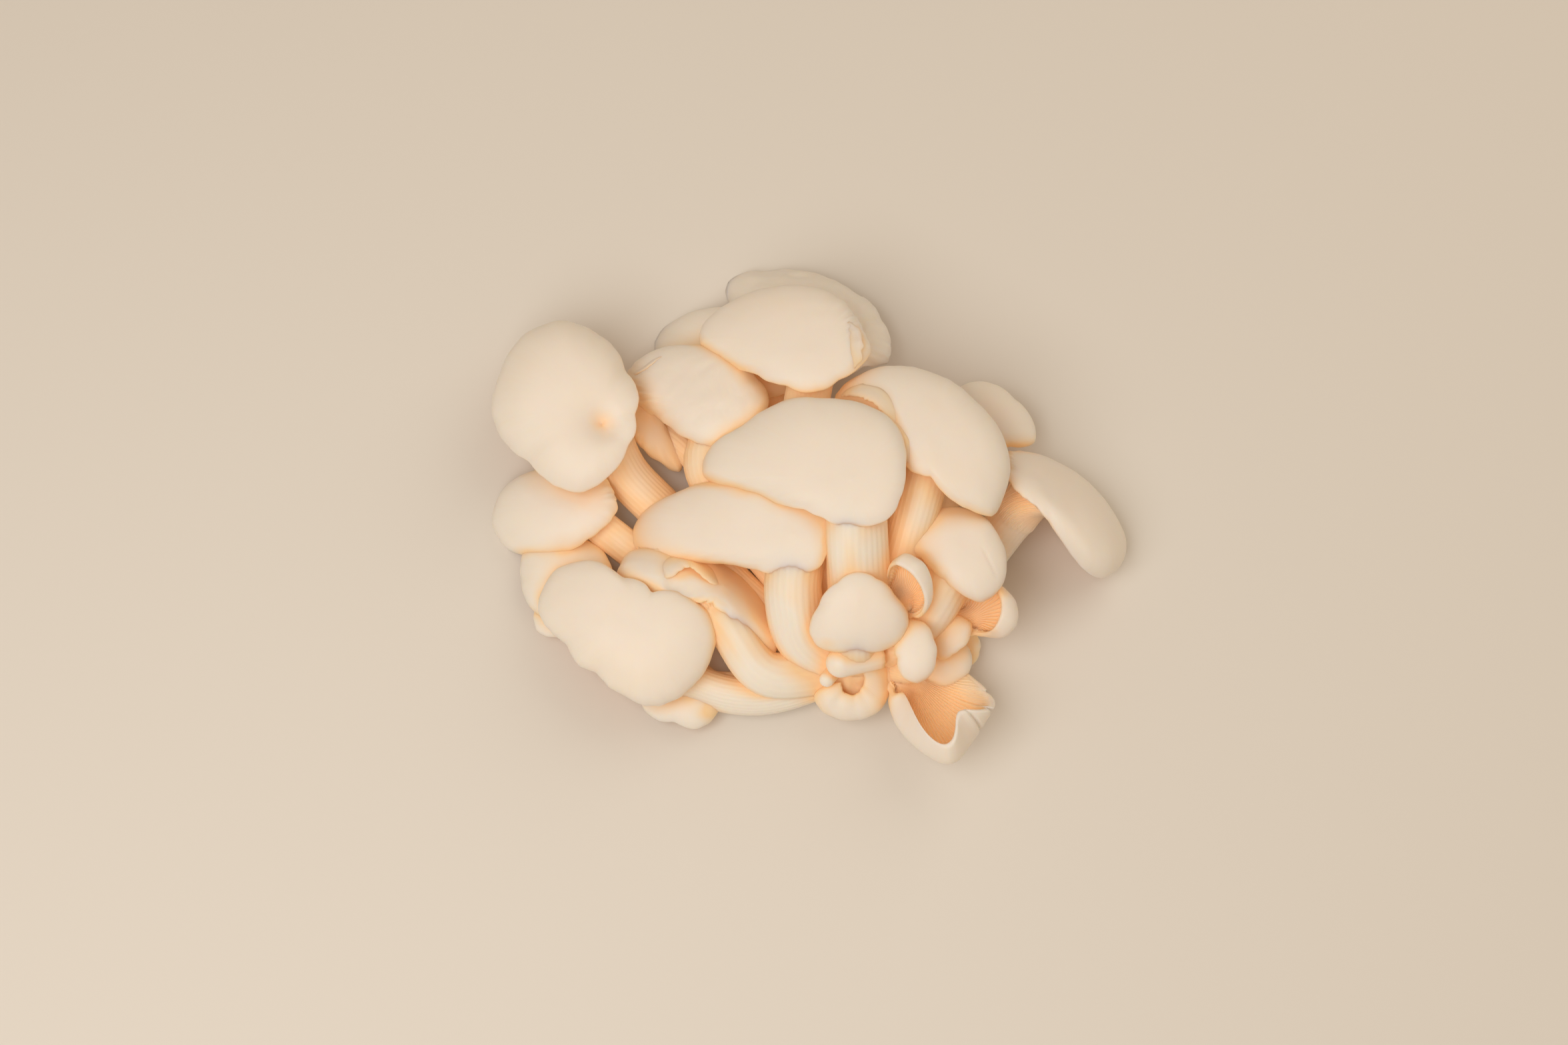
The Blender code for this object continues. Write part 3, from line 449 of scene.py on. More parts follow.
@dataclass
class Cap:
    """The cap of one mushroom, as places on its skin and below it."""

    spec: Mushroom
    touch: Touch
    seed: int

    LEAST_REACH = 1.15
    SOFTENING = ((-4.0, 0.25), (0.0, 0.5), (4.0, 0.25))
    CALMING = tuple((step, 1.0 / 13.0) for step in range(-36, 37, 6))
    MARKS = 721
    BACK_SHARE = 0.35
    THINNING = 1.3
    FULLNESS = 2.0
    MARGIN_WAVES = ((1.0, 11.0), (0.4, 4.0))
    LUMPS = ((1.0, 22.0), (0.25, 7.0))
    LUMP_SHARE = 0.6
    CALM_SPAN = (0.1, 0.9)
    RIPPLE_SPAN = (0.55, 1.0)
    RIPPLE_TWIST = 4.0
    RIPPLE_SWAY = (2.0, 7.0)
    CREASE_SIZES = (9.0, 4.5)
    CREASE_LEVEL = 0.9
    CREASE_DEPTH = 0.7
    CRACK_FULL = 0.3
    CRACK_TIP = 0.4
    CRACK_OVERRUN = 6.0

    def axes(self) -> tuple[np.ndarray, np.ndarray, np.ndarray]:
        """Work out the cap's forward, left and up directions."""
        turn = math.radians(self.spec.heading)
        forward = np.array((math.cos(turn), math.sin(turn), 0.0))
        left = np.array((-math.sin(turn), math.cos(turn), 0.0))
        up = np.array((0.0, 0.0, 1.0))
        dip = math.radians(self.spec.pitch)
        forward, up = (forward * math.cos(dip) - up * math.sin(dip),
                       up * math.cos(dip) + forward * math.sin(dip))
        lean = math.radians(self.spec.roll)
        left, up = (left * math.cos(lean) + up * math.sin(lean),
                    up * math.cos(lean) - left * math.sin(lean))
        return forward, left, up

    def reach(self, bearings: np.ndarray, plain: bool = False, calm: bool = False) -> np.ndarray:
        """Work out how far the margin lies from the pole.

        Args:
            bearings: Bearings from the heading, in degrees.
            plain: Leave out the nicks and the waves.
            calm: Round the margin off, for the middle of the cap.

        Returns:
            The reach at each bearing, in millimetres.
        """
        measured, reaches = zip(*self.spec.margin)
        total = np.zeros_like(bearings)
        for offset, weight in self.CALMING if calm else self.SOFTENING:
            total += weight * np.interp(bearings + offset, measured, reaches, period=360.0)
        total = np.maximum(total, self.spec.stem_top * self.LEAST_REACH)
        if plain or calm:
            return total
        turn = np.radians(bearings)
        ring = np.stack((total * np.cos(turn), total * np.sin(turn), np.zeros_like(turn)), axis=-1)
        total = total + self.touch.waves * layered(ring, self.MARGIN_WAVES, self.seed)
        return total - bumps(bearings, self.touch.nicks)

    def bearings(self, count: int) -> np.ndarray:
        """Divide the margin into stretches of like length and return their bearings."""
        marks = np.linspace(-180.0, 180.0, self.MARKS)
        reach = self.reach(marks, plain=True)
        turn = np.radians(marks)
        run = np.hypot(np.diff(reach * np.cos(turn)), np.diff(reach * np.sin(turn)))
        run += reach.mean() * np.diff(turn) * self.BACK_SHARE
        total = np.concatenate(((0.0,), np.cumsum(run)))
        return np.interp(np.arange(count) * total[-1] / count, total, marks)

    def profile(self, bearings: np.ndarray) -> tuple[np.ndarray, ...]:
        """Trace each meridian of the skin from the pole to the margin.

        Args:
            bearings: The meridians' bearings, in degrees.

        Returns:
            Tables of the distance out, the height and the slope, and each direction.
        """
        spec = self.spec
        reach = self.reach(bearings)
        u = np.linspace(0.0, 1.0, PROFILE_STEPS + 1)[:, None]
        share = (reach / max(r for _, r in spec.margin))[None, :]
        slope = np.radians(spec.crown * (1.0 - u) ** 3
                           + spec.rim * np.sqrt(share) * u ** self.FULLNESS
                           + (spec.curl * share + bumps(bearings, spec.rolls))
                           * smooth(u, spec.curl_start, 1.0))
        middle = 0.5 * (slope[1:] + slope[:-1])
        none = np.zeros(len(bearings))
        out = np.vstack((none, np.cumsum(np.cos(middle), axis=0))) / PROFILE_STEPS
        drop = np.vstack((none, np.cumsum(np.sin(middle), axis=0))) / PROFILE_STEPS
        calm = self.reach(bearings, calm=True)
        scale = (calm + (reach - calm) * smooth(u, *self.CALM_SPAN)) / out.max(axis=0)
        height = u ** 3 * bumps(bearings, spec.lifts) - drop * scale
        for centre, spread, amount, ripples in self.touch.folds:
            size, pace = self.RIPPLE_SWAY
            sway = size * np.sin(np.radians(bearings) * pace)
            crest = np.sin(np.radians(bearings) * ripples + self.RIPPLE_TWIST * u + sway)
            height = (height + bumps(bearings, ((centre, spread, amount),)) * crest
                      * smooth(u, *self.RIPPLE_SPAN))
        return out * scale, height, slope, np.radians(bearings)

    @staticmethod
    def _read(table: np.ndarray, u: np.ndarray) -> np.ndarray:
        """Read a meridian table at one share for each column."""
        place = np.clip(u, 0.0, 1.0) * PROFILE_STEPS
        low = np.minimum(place.astype(int), PROFILE_STEPS - 1)
        part = place - low
        columns = np.arange(table.shape[1])
        return table[low, columns] * (1.0 - part) + table[low + 1, columns] * part

    def ring(self, profile: tuple[np.ndarray, ...], u: np.ndarray, depth: np.ndarray | float = 0.0,
             ahead: float = 0.0) -> np.ndarray:
        """Place one ring of the cap.

        Args:
            profile: The meridians' tables.
            u: Share of the way out, for each column.
            depth: How far below the skin, in millimetres.
            ahead: How far past the skin's end, along it, in millimetres.

        Returns:
            The ring's points in millimetres.
        """
        out, height, slope, direction = profile
        forward, left, up = self.axes()
        tilt = self._read(slope, u)
        distance = self._read(out, u) - depth * np.sin(tilt) + ahead * np.cos(tilt)
        level = self._read(height, u) - depth * np.cos(tilt) - ahead * np.sin(tilt)
        ring = (np.outer(distance * np.cos(direction), forward)
                + np.outer(distance * np.sin(direction), left)
                + np.outer(level, up) + np.array(self.spec.pole))
        lump = self.LUMP_SHARE * self.touch.lumps * layered(ring, self.LUMPS, self.seed + 2)
        if self.touch.wrinkles:
            wide, narrow = (np.abs(waves(ring, size, self.seed + 4 + i))
                            for i, size in enumerate(self.CREASE_SIZES))
            lump -= self.touch.wrinkles * (self.CREASE_LEVEL - (wide + 0.5 * narrow)) * self.CREASE_DEPTH
        for crack in self.touch.cracks:
            lump -= self._split(ring, crack)
        for x, y, radius, depth in self.touch.dents:
            lump -= depth * np.exp(-((ring[:, 0] - x) ** 2 + (ring[:, 1] - y) ** 2) / radius ** 2)
        return ring + np.outer(lump, up)

    def _split(self, ring: np.ndarray, crack: Crack) -> np.ndarray:
        """Work out how far a crack sinks each point of a ring."""
        start, end = np.array(crack.start), np.array(crack.end)
        run = end - start
        length = np.linalg.norm(run)
        away = ring[:, :2] - start
        along = away @ run / length
        aside = (away @ np.array((-run[1], run[0]))) / length
        fade = 1.0 - smooth(along, self.CRACK_FULL * length, length)
        width = crack.width * (self.CRACK_TIP + (1.0 - self.CRACK_TIP) * fade)
        return crack.depth * fade * np.exp(-(aside / width) ** 2) * (along > -self.CRACK_OVERRUN)

    def thickness(self, u: np.ndarray, lip: float) -> np.ndarray:
        """Work out the flesh between skin and gills at each share of the way out."""
        return lip + (self.spec.flesh - lip) * (1.0 - u) ** self.THINNING


@dataclass
class Stem:
    """The stem of one mushroom, as rings along a smooth path."""

    spec: Mushroom
    axes: tuple[np.ndarray, np.ndarray, np.ndarray]
    seed: int

    START = 1.5
    END = 0.5
    SWELLS = ((0.05, 2.0, 2.5, 1.0), (0.03, 3.0, -4.0, 2.0))

    def centres(self, count: int) -> tuple[np.ndarray, np.ndarray]:
        """Space points evenly on the path, and find its direction at each."""
        forward, left, up = self.axes
        start = np.array(self.spec.pole) - up * self.spec.flesh * self.START
        points = np.array((tuple(start),) + self.spec.path)
        gaps = np.linalg.norm(np.diff(points, axis=0), axis=1)
        slopes = np.empty_like(points)
        slopes[0] = -up
        slopes[-1] = (points[-1] - points[-2]) / gaps[-1]
        for i in range(1, len(points) - 1):
            before = (points[i] - points[i - 1]) / gaps[i - 1]
            after = (points[i + 1] - points[i]) / gaps[i]
            slopes[i] = (before * gaps[i] + after * gaps[i - 1]) / (gaps[i] + gaps[i - 1])
        marks = np.concatenate(((0.0,), np.cumsum(gaps)))
        places, directions = [], []
        for mark in np.linspace(0.0, marks[-1], count):
            i = min(int(np.searchsorted(marks, mark, side="right")) - 1, len(gaps) - 1)
            t, span = (mark - marks[i]) / gaps[i], gaps[i]
            places.append(between(t, span, (points[i], slopes[i]), (points[i + 1], slopes[i + 1])))
            run = ((6 * t**2 - 6 * t) * (points[i] - points[i + 1]) / span
                   + (3 * t**2 - 4 * t + 1) * slopes[i] + (3 * t**2 - 2 * t) * slopes[i + 1])
            directions.append(run / np.linalg.norm(run))
        return np.array(places), np.array(directions)

    def rings(self, columns: int, count: int) -> tuple[list[np.ndarray], np.ndarray, np.ndarray]:
        """Make the stem's rings from under the cap down to the foot.

        Args:
            columns: Points round each ring.
            count: Number of rings.

        Returns:
            The rings, the end point in the foot and the path's first direction.
        """
        centres, directions = self.centres(count)
        angles = np.arange(columns) * FULL_CIRCLE / columns - math.pi
        side = self.axes[0]
        rings = []
        for i, (centre, direction) in enumerate(zip(centres, directions)):
            side = carried(side, direction)
            other = np.cross(side, direction)
            part = i / (count - 1)
            radius = self.spec.stem_top + (self.spec.stem_foot - self.spec.stem_top) * part
            swell = sum((size * np.sin(lobes * angles + drift * part + turns * self.seed)
                         for size, lobes, drift, turns in self.SWELLS), start=1.0)
            rings.append(centre + radius * (np.outer(np.cos(angles) * swell, side)
                                            + np.outer(np.sin(angles) * swell, other)))
        end = centres[-1] + directions[-1] * self.spec.stem_foot * self.END
        return rings, end, directions[0]


class Gilled:
    """Grows one mushroom: cap, lip, gills, neck and stem in one closed skin."""

    LIP_STEPS = (30.0, 60.0, 90.0, 120.0, 150.0, 180.0)
    NECK_SPREAD = 1.45
    NECK_LIMIT = 0.8
    NECK_RINGS = 9
    LANDING_RING = 2
    FINE_FROM = 34.0
    MEDIUM_FROM = 18.0
    POLE_COLUMNS = 8
    CROWDING = 1.15
    GILL_RISE = (0.02, 0.16)
    SHORT_FADE = (0.3, 0.6)
    NECK_FADE = 0.85

    def __init__(self, spec: Mushroom, seed: int) -> None:
        """Take the mushroom's measures and settle its grain by its size."""
        self.spec = spec
        self.seed = seed
        self.touch = TOUCHES.get(spec.name, Touch())
        self.cap = Cap(spec, self.touch, seed)
        widest = max(reach for _, reach in spec.margin)
        usual = (Grain.FINE if widest > self.FINE_FROM
                 else Grain.MEDIUM if widest > self.MEDIUM_FROM else Grain.SMALL)
        self.grain = GRAINS.get(spec.name, usual).value

    def grow(self) -> bpy.types.Object:
        """Make the mushroom's mesh object."""
        sheet = MeshSheet()
        profile = self.cap.profile(self.cap.bearings(self.POLE_COLUMNS))
        sheet.add_pole(self.cap.ring(profile, np.zeros(self.POLE_COLUMNS))[0])
        self._add_skin(sheet)
        inner, before = self._add_gills(sheet)
        self._add_stem(sheet, inner, before)
        return sheet.to_object(self.spec.name)

    def _add_skin(self, sheet: MeshSheet) -> None:
        """Add the cap's top from the pole to the margin."""
        columns = self.grain.skin_columns
        profile = self.cap.profile(self.cap.bearings(columns))
        for i in range(1, self.grain.skin_rings + 1):
            u = i / self.grain.skin_rings
            sheet.add_ring(self.cap.ring(profile, np.full(columns, u)), radial=u)

    def _add_gills(self, sheet: MeshSheet) -> tuple[np.ndarray, np.ndarray]:
        """Add the lip and the underside, and return its two innermost rings."""
        columns = self.grain.gill_columns
        profile = self.cap.profile(self.cap.bearings(columns))
        edge = np.ones(columns)
        lip = self.touch.lip
        for step in self.LIP_STEPS:
            turn = math.radians(step)
            ring = self.cap.ring(profile, edge, lip * 0.5 * (1.0 - math.cos(turn)),
                                 lip * 0.5 * math.sin(turn))
            sheet.add_ring(ring, radial=1.0)
        reach = profile[0].max(axis=0)
        inner = np.minimum(self.NECK_SPREAD * self.spec.stem_top / reach, self.NECK_LIMIT)
        rings = []
        for i in range(1, self.grain.gill_rings + 1):
            part = i / self.grain.gill_rings
            u = 1.0 - (1.0 - inner) * part ** self.CROWDING
            ring = self.cap.ring(profile, u, self.cap.thickness(u, lip))
            gills = smooth(np.full(columns, part), *self.GILL_RISE)
            short = gills * (1.0 - smooth(np.full(columns, part), *self.SHORT_FADE))
            sheet.add_ring(ring, radial=u, gills=gills, short_gills=short)
            rings.append(ring)
        return rings[-1], rings[-2]

    def _add_stem(self, sheet: MeshSheet, inner: np.ndarray, before: np.ndarray) -> None:
        """Add the neck, where gills run down onto the stem, and then the stem."""
        stem = Stem(self.spec, self.cap.axes(), self.seed)
        wide, _, direction = stem.rings(len(inner), self.grain.stem_rings)
        landing = wide[self.LANDING_RING]
        pull = inner - before
        pull /= np.linalg.norm(pull, axis=1)[:, None]
        span = np.linalg.norm(landing - inner, axis=1)[:, None]
        for i in range(1, self.NECK_RINGS + 1):
            t = i / self.NECK_RINGS
            ring = between(t, span, (inner, pull), (landing, direction))
            sheet.add_ring(ring, gills=1.0 - self.NECK_FADE * t, ribs=t)
        rings, end, _ = stem.rings(self.grain.stem_columns, self.grain.stem_rings)
        for ring in rings[self.LANDING_RING + 1:]:
            sheet.add_ring(ring, ribs=1.0)
        sheet.add_pole(end, ribs=1.0)


@dataclass(frozen=True)
class Flap:
    """A thin fold of skin that stands over the skin beside it.

    Its root follows a path on its cap, and its free edge lies to the right of the path.
    """

    name: str
    cap: str
    path: tuple[Place, ...]
    width: float
    lift: float
    rag: float = 0.3
    thickness: float = 0.8

    SECTION = ((-0.9, -0.5, 0.0), (-0.45, 0.0, 0.12), (0.05, 0.1, 0.5), (0.5, 0.1, 0.9), (0.84, 0.0, 1.0),
               (1.0, -0.1, 0.86), (0.98, -0.5, 0.84), (0.84, -0.65, 0.9), (0.58, -0.9, 0.85),
               (0.22, -1.0, 0.5), (-0.25, -1.3, 0.0), (-0.8, -1.7, -0.2))
    ROUNDS = 3
    SPACING = 0.4
    LEAST = 0.12
    CUT = 0.25
    EVENINGS = 6
    TEARS = ((1.0, 5.0), (0.8, 1.8))
    TEAR_SEED = 5
    TORN_FROM = 0.5

    def _line(self) -> np.ndarray:
        """Round the path off and divide it evenly."""
        line = np.array(self.path)
        for _ in range(self.ROUNDS):
            first, second = line[:-1], line[1:]
            cut = np.stack(((1.0 - self.CUT) * first + self.CUT * second,
                            self.CUT * first + (1.0 - self.CUT) * second), axis=1)
            line = np.concatenate((line[:1], cut.reshape(-1, 3), line[-1:]))
        marks = np.concatenate(((0.0,), np.cumsum(np.linalg.norm(np.diff(line, axis=0), axis=1))))
        even = np.linspace(0.0, marks[-1], int(marks[-1] / self.SPACING) + 2)
        return np.stack([np.interp(even, marks, line[:, axis]) for axis in range(3)], axis=1)

    def grow(self, cap: bpy.types.Object) -> bpy.types.Object:
        """Make the flap on its cap's skin.

        Args:
            cap: The cap that it grows from.

        Returns:
            The flap's mesh object.
        """
        tree = BVHTree.FromPolygons([vertex.co.copy() for vertex in cap.data.vertices],
                                    [list(face.vertices) for face in cap.data.polygons])
        line = self._line()
        found = [tree.find_nearest(Vector((point + PLAN_SHIFT) * MM)) for point in line]
        line = np.array([tuple(hit[0]) for hit in found]) / MM - PLAN_SHIFT
        normals = np.array([tuple(hit[1]) for hit in found])
        for _ in range(self.EVENINGS):
            for table in (line, normals):
                table[1:-1] = 0.5 * table[1:-1] + 0.25 * (table[:-2] + table[2:])
        runs = np.gradient(line, axis=0)
        sheet = MeshSheet()
        share = np.linspace(0.0, 1.0, len(line))
        ease = self.LEAST + (1.0 - self.LEAST) * np.sqrt(np.sin(math.pi * share))
        torn = self.rag * layered(line, self.TEARS, self.TEAR_SEED) * ease
        sheet.add_pole(line[0] - normals[0], radial=1.0)
        for centre, run, normal, part, tear in zip(line, runs, normals, ease, torn):
            run = run / np.linalg.norm(run)
            rise = carried(normal, run)
            side = np.cross(run, rise)
            ring = [centre + side * across * (self.width * part + tear * (across > self.TORN_FROM))
                    + rise * (level * self.thickness + height * self.lift * part - (1.0 - part))
                    for across, level, height in self.SECTION]
            sheet.add_ring(np.array(ring)[::-1], radial=1.0)
        sheet.add_pole(line[-1] - normals[-1], radial=1.0)
        return sheet.to_object(self.name)


FLAPS = (
    Flap("crown_right_torn_edge", "crown_right", ((17, 38.3, 36.5), (20.4, 38.4, 38.7), (23.9, 37, 42),
        (27.4, 35.6, 44), (30, 33.6, 45.5), (32.1, 31, 46.6), (33.8, 27.3, 47.7), (35, 24.2, 48.3),
        (35.9, 21.7, 48.7)), 3.8, 1.5, 0.35),
    Flap("crown_right_rim", "crown_right", ((34.4, 25.5, 48), (35.9, 21.7, 48.7), (37.7, 17.2, 49.4),
        (38.8, 13, 49.3), (39.6, 8.5, 48.2)), 1.9, 0.8, 0.1),
    Flap("upper_left_fold", "upper_left", ((-50.3, 52.4, 18.6), (-48.3, 51.8, 21.2), (-46.7, 51.7, 22.7),
        (-44.4, 53, 23.6), (-41.9, 55.3, 24.1), (-38, 56.8, 25.3)), 1.5, 0.4, 0.2),
    Flap("middle_long_curl", "middle_long", ((-39, -10.9, 23.7), (-41, -11.2, 21.1), (-43.7, -10.3, 17.8),
        (-46, -8.6, 15.7), (-47.4, -6.5, 14.8)), 2, 1, 0.2),
    Flap("folded_middle_band", "folded_middle", ((-38.5, -22, 30), (-37.6, -19.9, 29.6), (-36.6, -17.9, 28.4),
        (-34.2, -15.5, 26.3), (-30.5, -14.8, 24.8), (-26.8, -16.2, 24.6), (-23, -20.3, 26.3),
        (-19.9, -23.3, 27)), 5.5, 2, 0.3, 1),
    Flap("crown_back_fold", "crown_back", ((21.4, 43, 43.9), (22.4, 45.3, 44.1), (22.6, 49.9, 44.5),
        (22.5, 54.2, 43.8), (21.4, 57.6, 43.2), (19.7, 60.2, 43.4)), 2.6, 1, 0.5),
)


@dataclass(frozen=True)
class Wiring:
    """Adds nodes to a tree and fills their inputs."""

    tree: bpy.types.NodeTree

    def feed(self, node: bpy.types.Node, inputs: dict[str | int, object]) -> None:
        """Link a socket or set a value at each named or numbered input."""
        for key, value in inputs.items():
            if isinstance(value, bpy.types.NodeSocket):
                self.tree.links.new(value, node.inputs[key])
            else:
                node.inputs[key].default_value = value

    def add(self, kind: str, inputs: dict[str | int, object] | None = None, result: str | int = 0,
            **settings: str) -> bpy.types.NodeSocket:
        """Add a node.

        Args:
            kind: Its type.
            inputs: What each input gets.
            result: The output that is wanted.
            **settings: Its own settings.

        Returns:
            The wanted output.
        """
        node = self.tree.nodes.new(kind)
        for key, value in settings.items():
            setattr(node, key, value)
        self.feed(node, inputs or {})
        return node.outputs[result]

    def sum_up(self, operation: str, *values: bpy.types.NodeSocket | float) -> bpy.types.NodeSocket:
        """Add a math node."""
        return self.add("ShaderNodeMath", dict(enumerate(values)), operation=operation)


@dataclass(frozen=True)
class Relief:
    """The raised gills under a cap and the ribs along its stem."""

    gill_depth: float = 1.1
    rib_depth: float = 0.08
    sharpness: float = 1.8
    short_share: float = 0.7
    drift_scale: float = 60.0
    drift: float = 5.0
    fine_share: float = 0.45
    fine_drift: float = -1.7
    tree_name: str = "gills_and_ribs"

    def tree(self) -> bpy.types.NodeTree:
        """Build the node tree that raises gills and ribs from a plain skin.

        Returns:
            The tree, with named inputs for counts, depths, seed and material.
        """
        tree = bpy.data.node_groups.new(self.tree_name, "GeometryNodeTree")
        tree.interface.new_socket("Mushroom", in_out="INPUT", socket_type="NodeSocketGeometry")
        for name, kind in (("Gill Count", "Int"), ("Gill Depth", "Float"), ("Rib Count", "Int"),
                           ("Rib Depth", "Float"), ("Seed", "Float"), ("Finish", "Material")):
            tree.interface.new_socket(name, in_out="INPUT", socket_type="NodeSocket" + kind)
        tree.interface.new_socket("Mushroom", in_out="OUTPUT", socket_type="NodeSocketGeometry")
        wiring = Wiring(tree)
        add, sum_up = wiring.add, wiring.sum_up
        source = tree.nodes.new("NodeGroupInput").outputs

        def named(name: str) -> bpy.types.NodeSocket:
            """Read a float attribute of the skin."""
            return add("GeometryNodeInputNamedAttribute", {"Name": name}, "Attribute", data_type="FLOAT")

        def blades(phase: bpy.types.NodeSocket) -> bpy.types.NodeSocket:
            """Turn a running phase into one narrow crest in each turn."""
            away = sum_up("ABSOLUTE", sum_up("MULTIPLY_ADD", sum_up("FRACT", phase), 2.0, -1.0))
            return sum_up("POWER", sum_up("SUBTRACT", 1.0, away), self.sharpness)

        sweep = named("sweep")
        phase = sum_up("MULTIPLY", sweep, source["Gill Count"])
        long_gills = sum_up("MULTIPLY", blades(phase), named("gills"))
        short_gills = sum_up("MULTIPLY", blades(sum_up("ADD", phase, 0.5)), named("short_gills"))
        both = sum_up("ADD", long_gills, sum_up("MULTIPLY", short_gills, self.short_share))
        gills = sum_up("MULTIPLY", both, source["Gill Depth"])

        noise = add("ShaderNodeTexNoise", {"Scale": self.drift_scale, "Detail": 1.0, "W": source["Seed"]},
                    noise_dimensions="4D")
        around = sum_up("MULTIPLY", sum_up("MULTIPLY", sweep, source["Rib Count"]), FULL_CIRCLE)
        drift = sum_up("MULTIPLY", noise, self.drift)
        coarse = sum_up("SINE", sum_up("ADD", around, drift))
        against = sum_up("MULTIPLY", drift, self.fine_drift)
        fine = sum_up("SINE", sum_up("ADD", sum_up("MULTIPLY", around, 2.0), against))
        ribs = sum_up("MULTIPLY", sum_up("MULTIPLY_ADD", fine, self.fine_share, coarse), named("ribs"))
        ribs = sum_up("MULTIPLY", ribs, source["Rib Depth"])

        outward = {0: add("GeometryNodeInputNormal"), "Scale": sum_up("ADD", gills, ribs)}
        rise = add("ShaderNodeVectorMath", outward, operation="SCALE")
        raised = add("GeometryNodeSetPosition", {"Geometry": source["Mushroom"], "Offset": rise})
        real = add("GeometryNodeRealizeInstances", {0: raised})
        finish = add("GeometryNodeSetMaterial", {"Geometry": real, "Material": source["Finish"]})
        wiring.feed(tree.nodes.new("NodeGroupOutput"), {0: finish})
        return tree

    def apply(self, piece: bpy.types.Object, tree: bpy.types.NodeTree, material: bpy.types.Material,
              counts: tuple[int, int], depth: float, seed: float) -> None:
        """Raise the relief on a piece and keep the result as its plain mesh.

        Args:
            piece: The mushroom.
            tree: The node tree.
            material: Its finish.
            counts: Numbers of long gills and of stem ribs.
            depth: Share of the usual gill depth.
            seed: Moves the ribs' drift.
        """
        modifier = piece.modifiers.new("relief", "NODES")
        modifier.node_group = tree
        sockets = {item.name: item.identifier for item in tree.interface.items_tree
                   if item.in_out == "INPUT"}
        for name, value in (("Gill Count", counts[0]), ("Gill Depth", self.gill_depth * depth * MM),
                            ("Rib Count", counts[1]), ("Rib Depth", self.rib_depth * MM),
                            ("Seed", seed), ("Finish", material)):
            modifier[sockets[name]] = value
        bpy.context.view_layer.update()
        evaluated = piece.evaluated_get(bpy.context.evaluated_depsgraph_get())
        plain = piece.data
        mesh = bpy.data.meshes.new_from_object(evaluated)
        corners = np.empty(len(mesh.vertices) * 3, dtype=np.float32)
        mesh.vertices.foreach_get("co", corners)
        settle(corners[2::3], RELIEF_SETTLE * MM)
        mesh.vertices.foreach_set("co", corners)
        piece.data = mesh
        piece.modifiers.clear()
        bpy.data.meshes.remove(plain)


@dataclass(frozen=True)
class PaintedShadeMeasure:
    """Finds how deep each place lies among the caps, for the painted warm shade and the painted glow in the
    folds.
    """

    reach: float = 30.0
    rays: int = 20
    share: float = 0.12
    lift: float = 0.5
    near: int = 6
    evenings: int = 14
    side_gap: float = 8.0
    fading: float = 0.6
    least_gap: float = 1e-4
    trait: str = "painted_fold_shade"

    def measure(self, pieces: list[bpy.types.Object]) -> None:
        """Store on every piece the share of its view that other flesh takes up close by.

        Args:
            pieces: All the pieces, at the origin.
        """
        corners, faces = [], []
        for piece in pieces:
            start = len(corners)
            corners.extend(vertex.co.copy() for vertex in piece.data.vertices)
            faces.extend([start + number for number in face.vertices] for face in piece.data.polygons)
        tree = BVHTree.FromPolygons(corners, faces)
        spread = self._directions()
        for piece in pieces:
            self._store(piece.data, tree, spread)

    def _directions(self) -> list[Vector]:
        """Spread directions evenly over the upper half of a ball, denser to its top."""
        turn = math.pi * (3.0 - math.sqrt(5.0))
        result = []
        for number in range(self.rays):
            out = math.sqrt((number + 0.5) / self.rays)
            result.append(Vector((out * math.cos(turn * number), out * math.sin(turn * number),
                                  math.sqrt(1.0 - out * out))))
        return result

    def _store(self, mesh: bpy.types.Mesh, tree: BVHTree, spread: list[Vector]) -> None:
        """Sample some of a mesh's points and share the result out over the rest."""
        dice = np.random.RandomState(len(mesh.vertices))
        drawn = dice.uniform(size=len(mesh.vertices)) < self.share
        chosen = [int(number) for number in np.flatnonzero(drawn)]
        lookup = KDTree(len(chosen))
        closed = []
        for number in chosen:
            vertex = mesh.vertices[number]
            turn = vertex.normal.to_track_quat("Z", "Y")
            start = vertex.co + vertex.normal * self.lift * MM
            share = 0.0
            for direction in spread:
                hit = tree.ray_cast(start, turn @ direction, self.reach * MM)
                if hit[0] is not None:
                    share += 1.0 - self.fading * hit[3] / (self.reach * MM)
            lookup.insert(vertex.co + vertex.normal * self.side_gap * MM, len(closed))
            closed.append(share / self.rays)
        lookup.balance()
        values = np.zeros(len(mesh.vertices), dtype=np.float32)
        for vertex in mesh.vertices:
            key = vertex.co + vertex.normal * self.side_gap * MM
            found = [(closed[index], 1.0 / (gap + self.least_gap))
                     for _, index, gap in lookup.find_n(key, self.near)]
            values[vertex.index] = sum(v * w for v, w in found) / sum(w for _, w in found)
        values = self._even_out(mesh, values)
        layer = mesh.attributes.new(self.trait, "FLOAT", "POINT")
        layer.data.foreach_set("value", values)

    def _even_out(self, mesh: bpy.types.Mesh, values: np.ndarray) -> np.ndarray:
        """Average each point's value with its neighbours', several times over."""
        edges = np.empty(len(mesh.edges) * 2, dtype=np.int32)
        mesh.edges.foreach_get("vertices", edges)
        first, second = edges[0::2], edges[1::2]
        size = len(values)
        count = np.bincount(first, minlength=size) + np.bincount(second, minlength=size)
        for _ in range(self.evenings):
            around = (np.bincount(first, weights=values[second], minlength=size)
                      + np.bincount(second, weights=values[first], minlength=size))
            values = 0.5 * values + 0.5 * around / count
        return values.astype(np.float32)


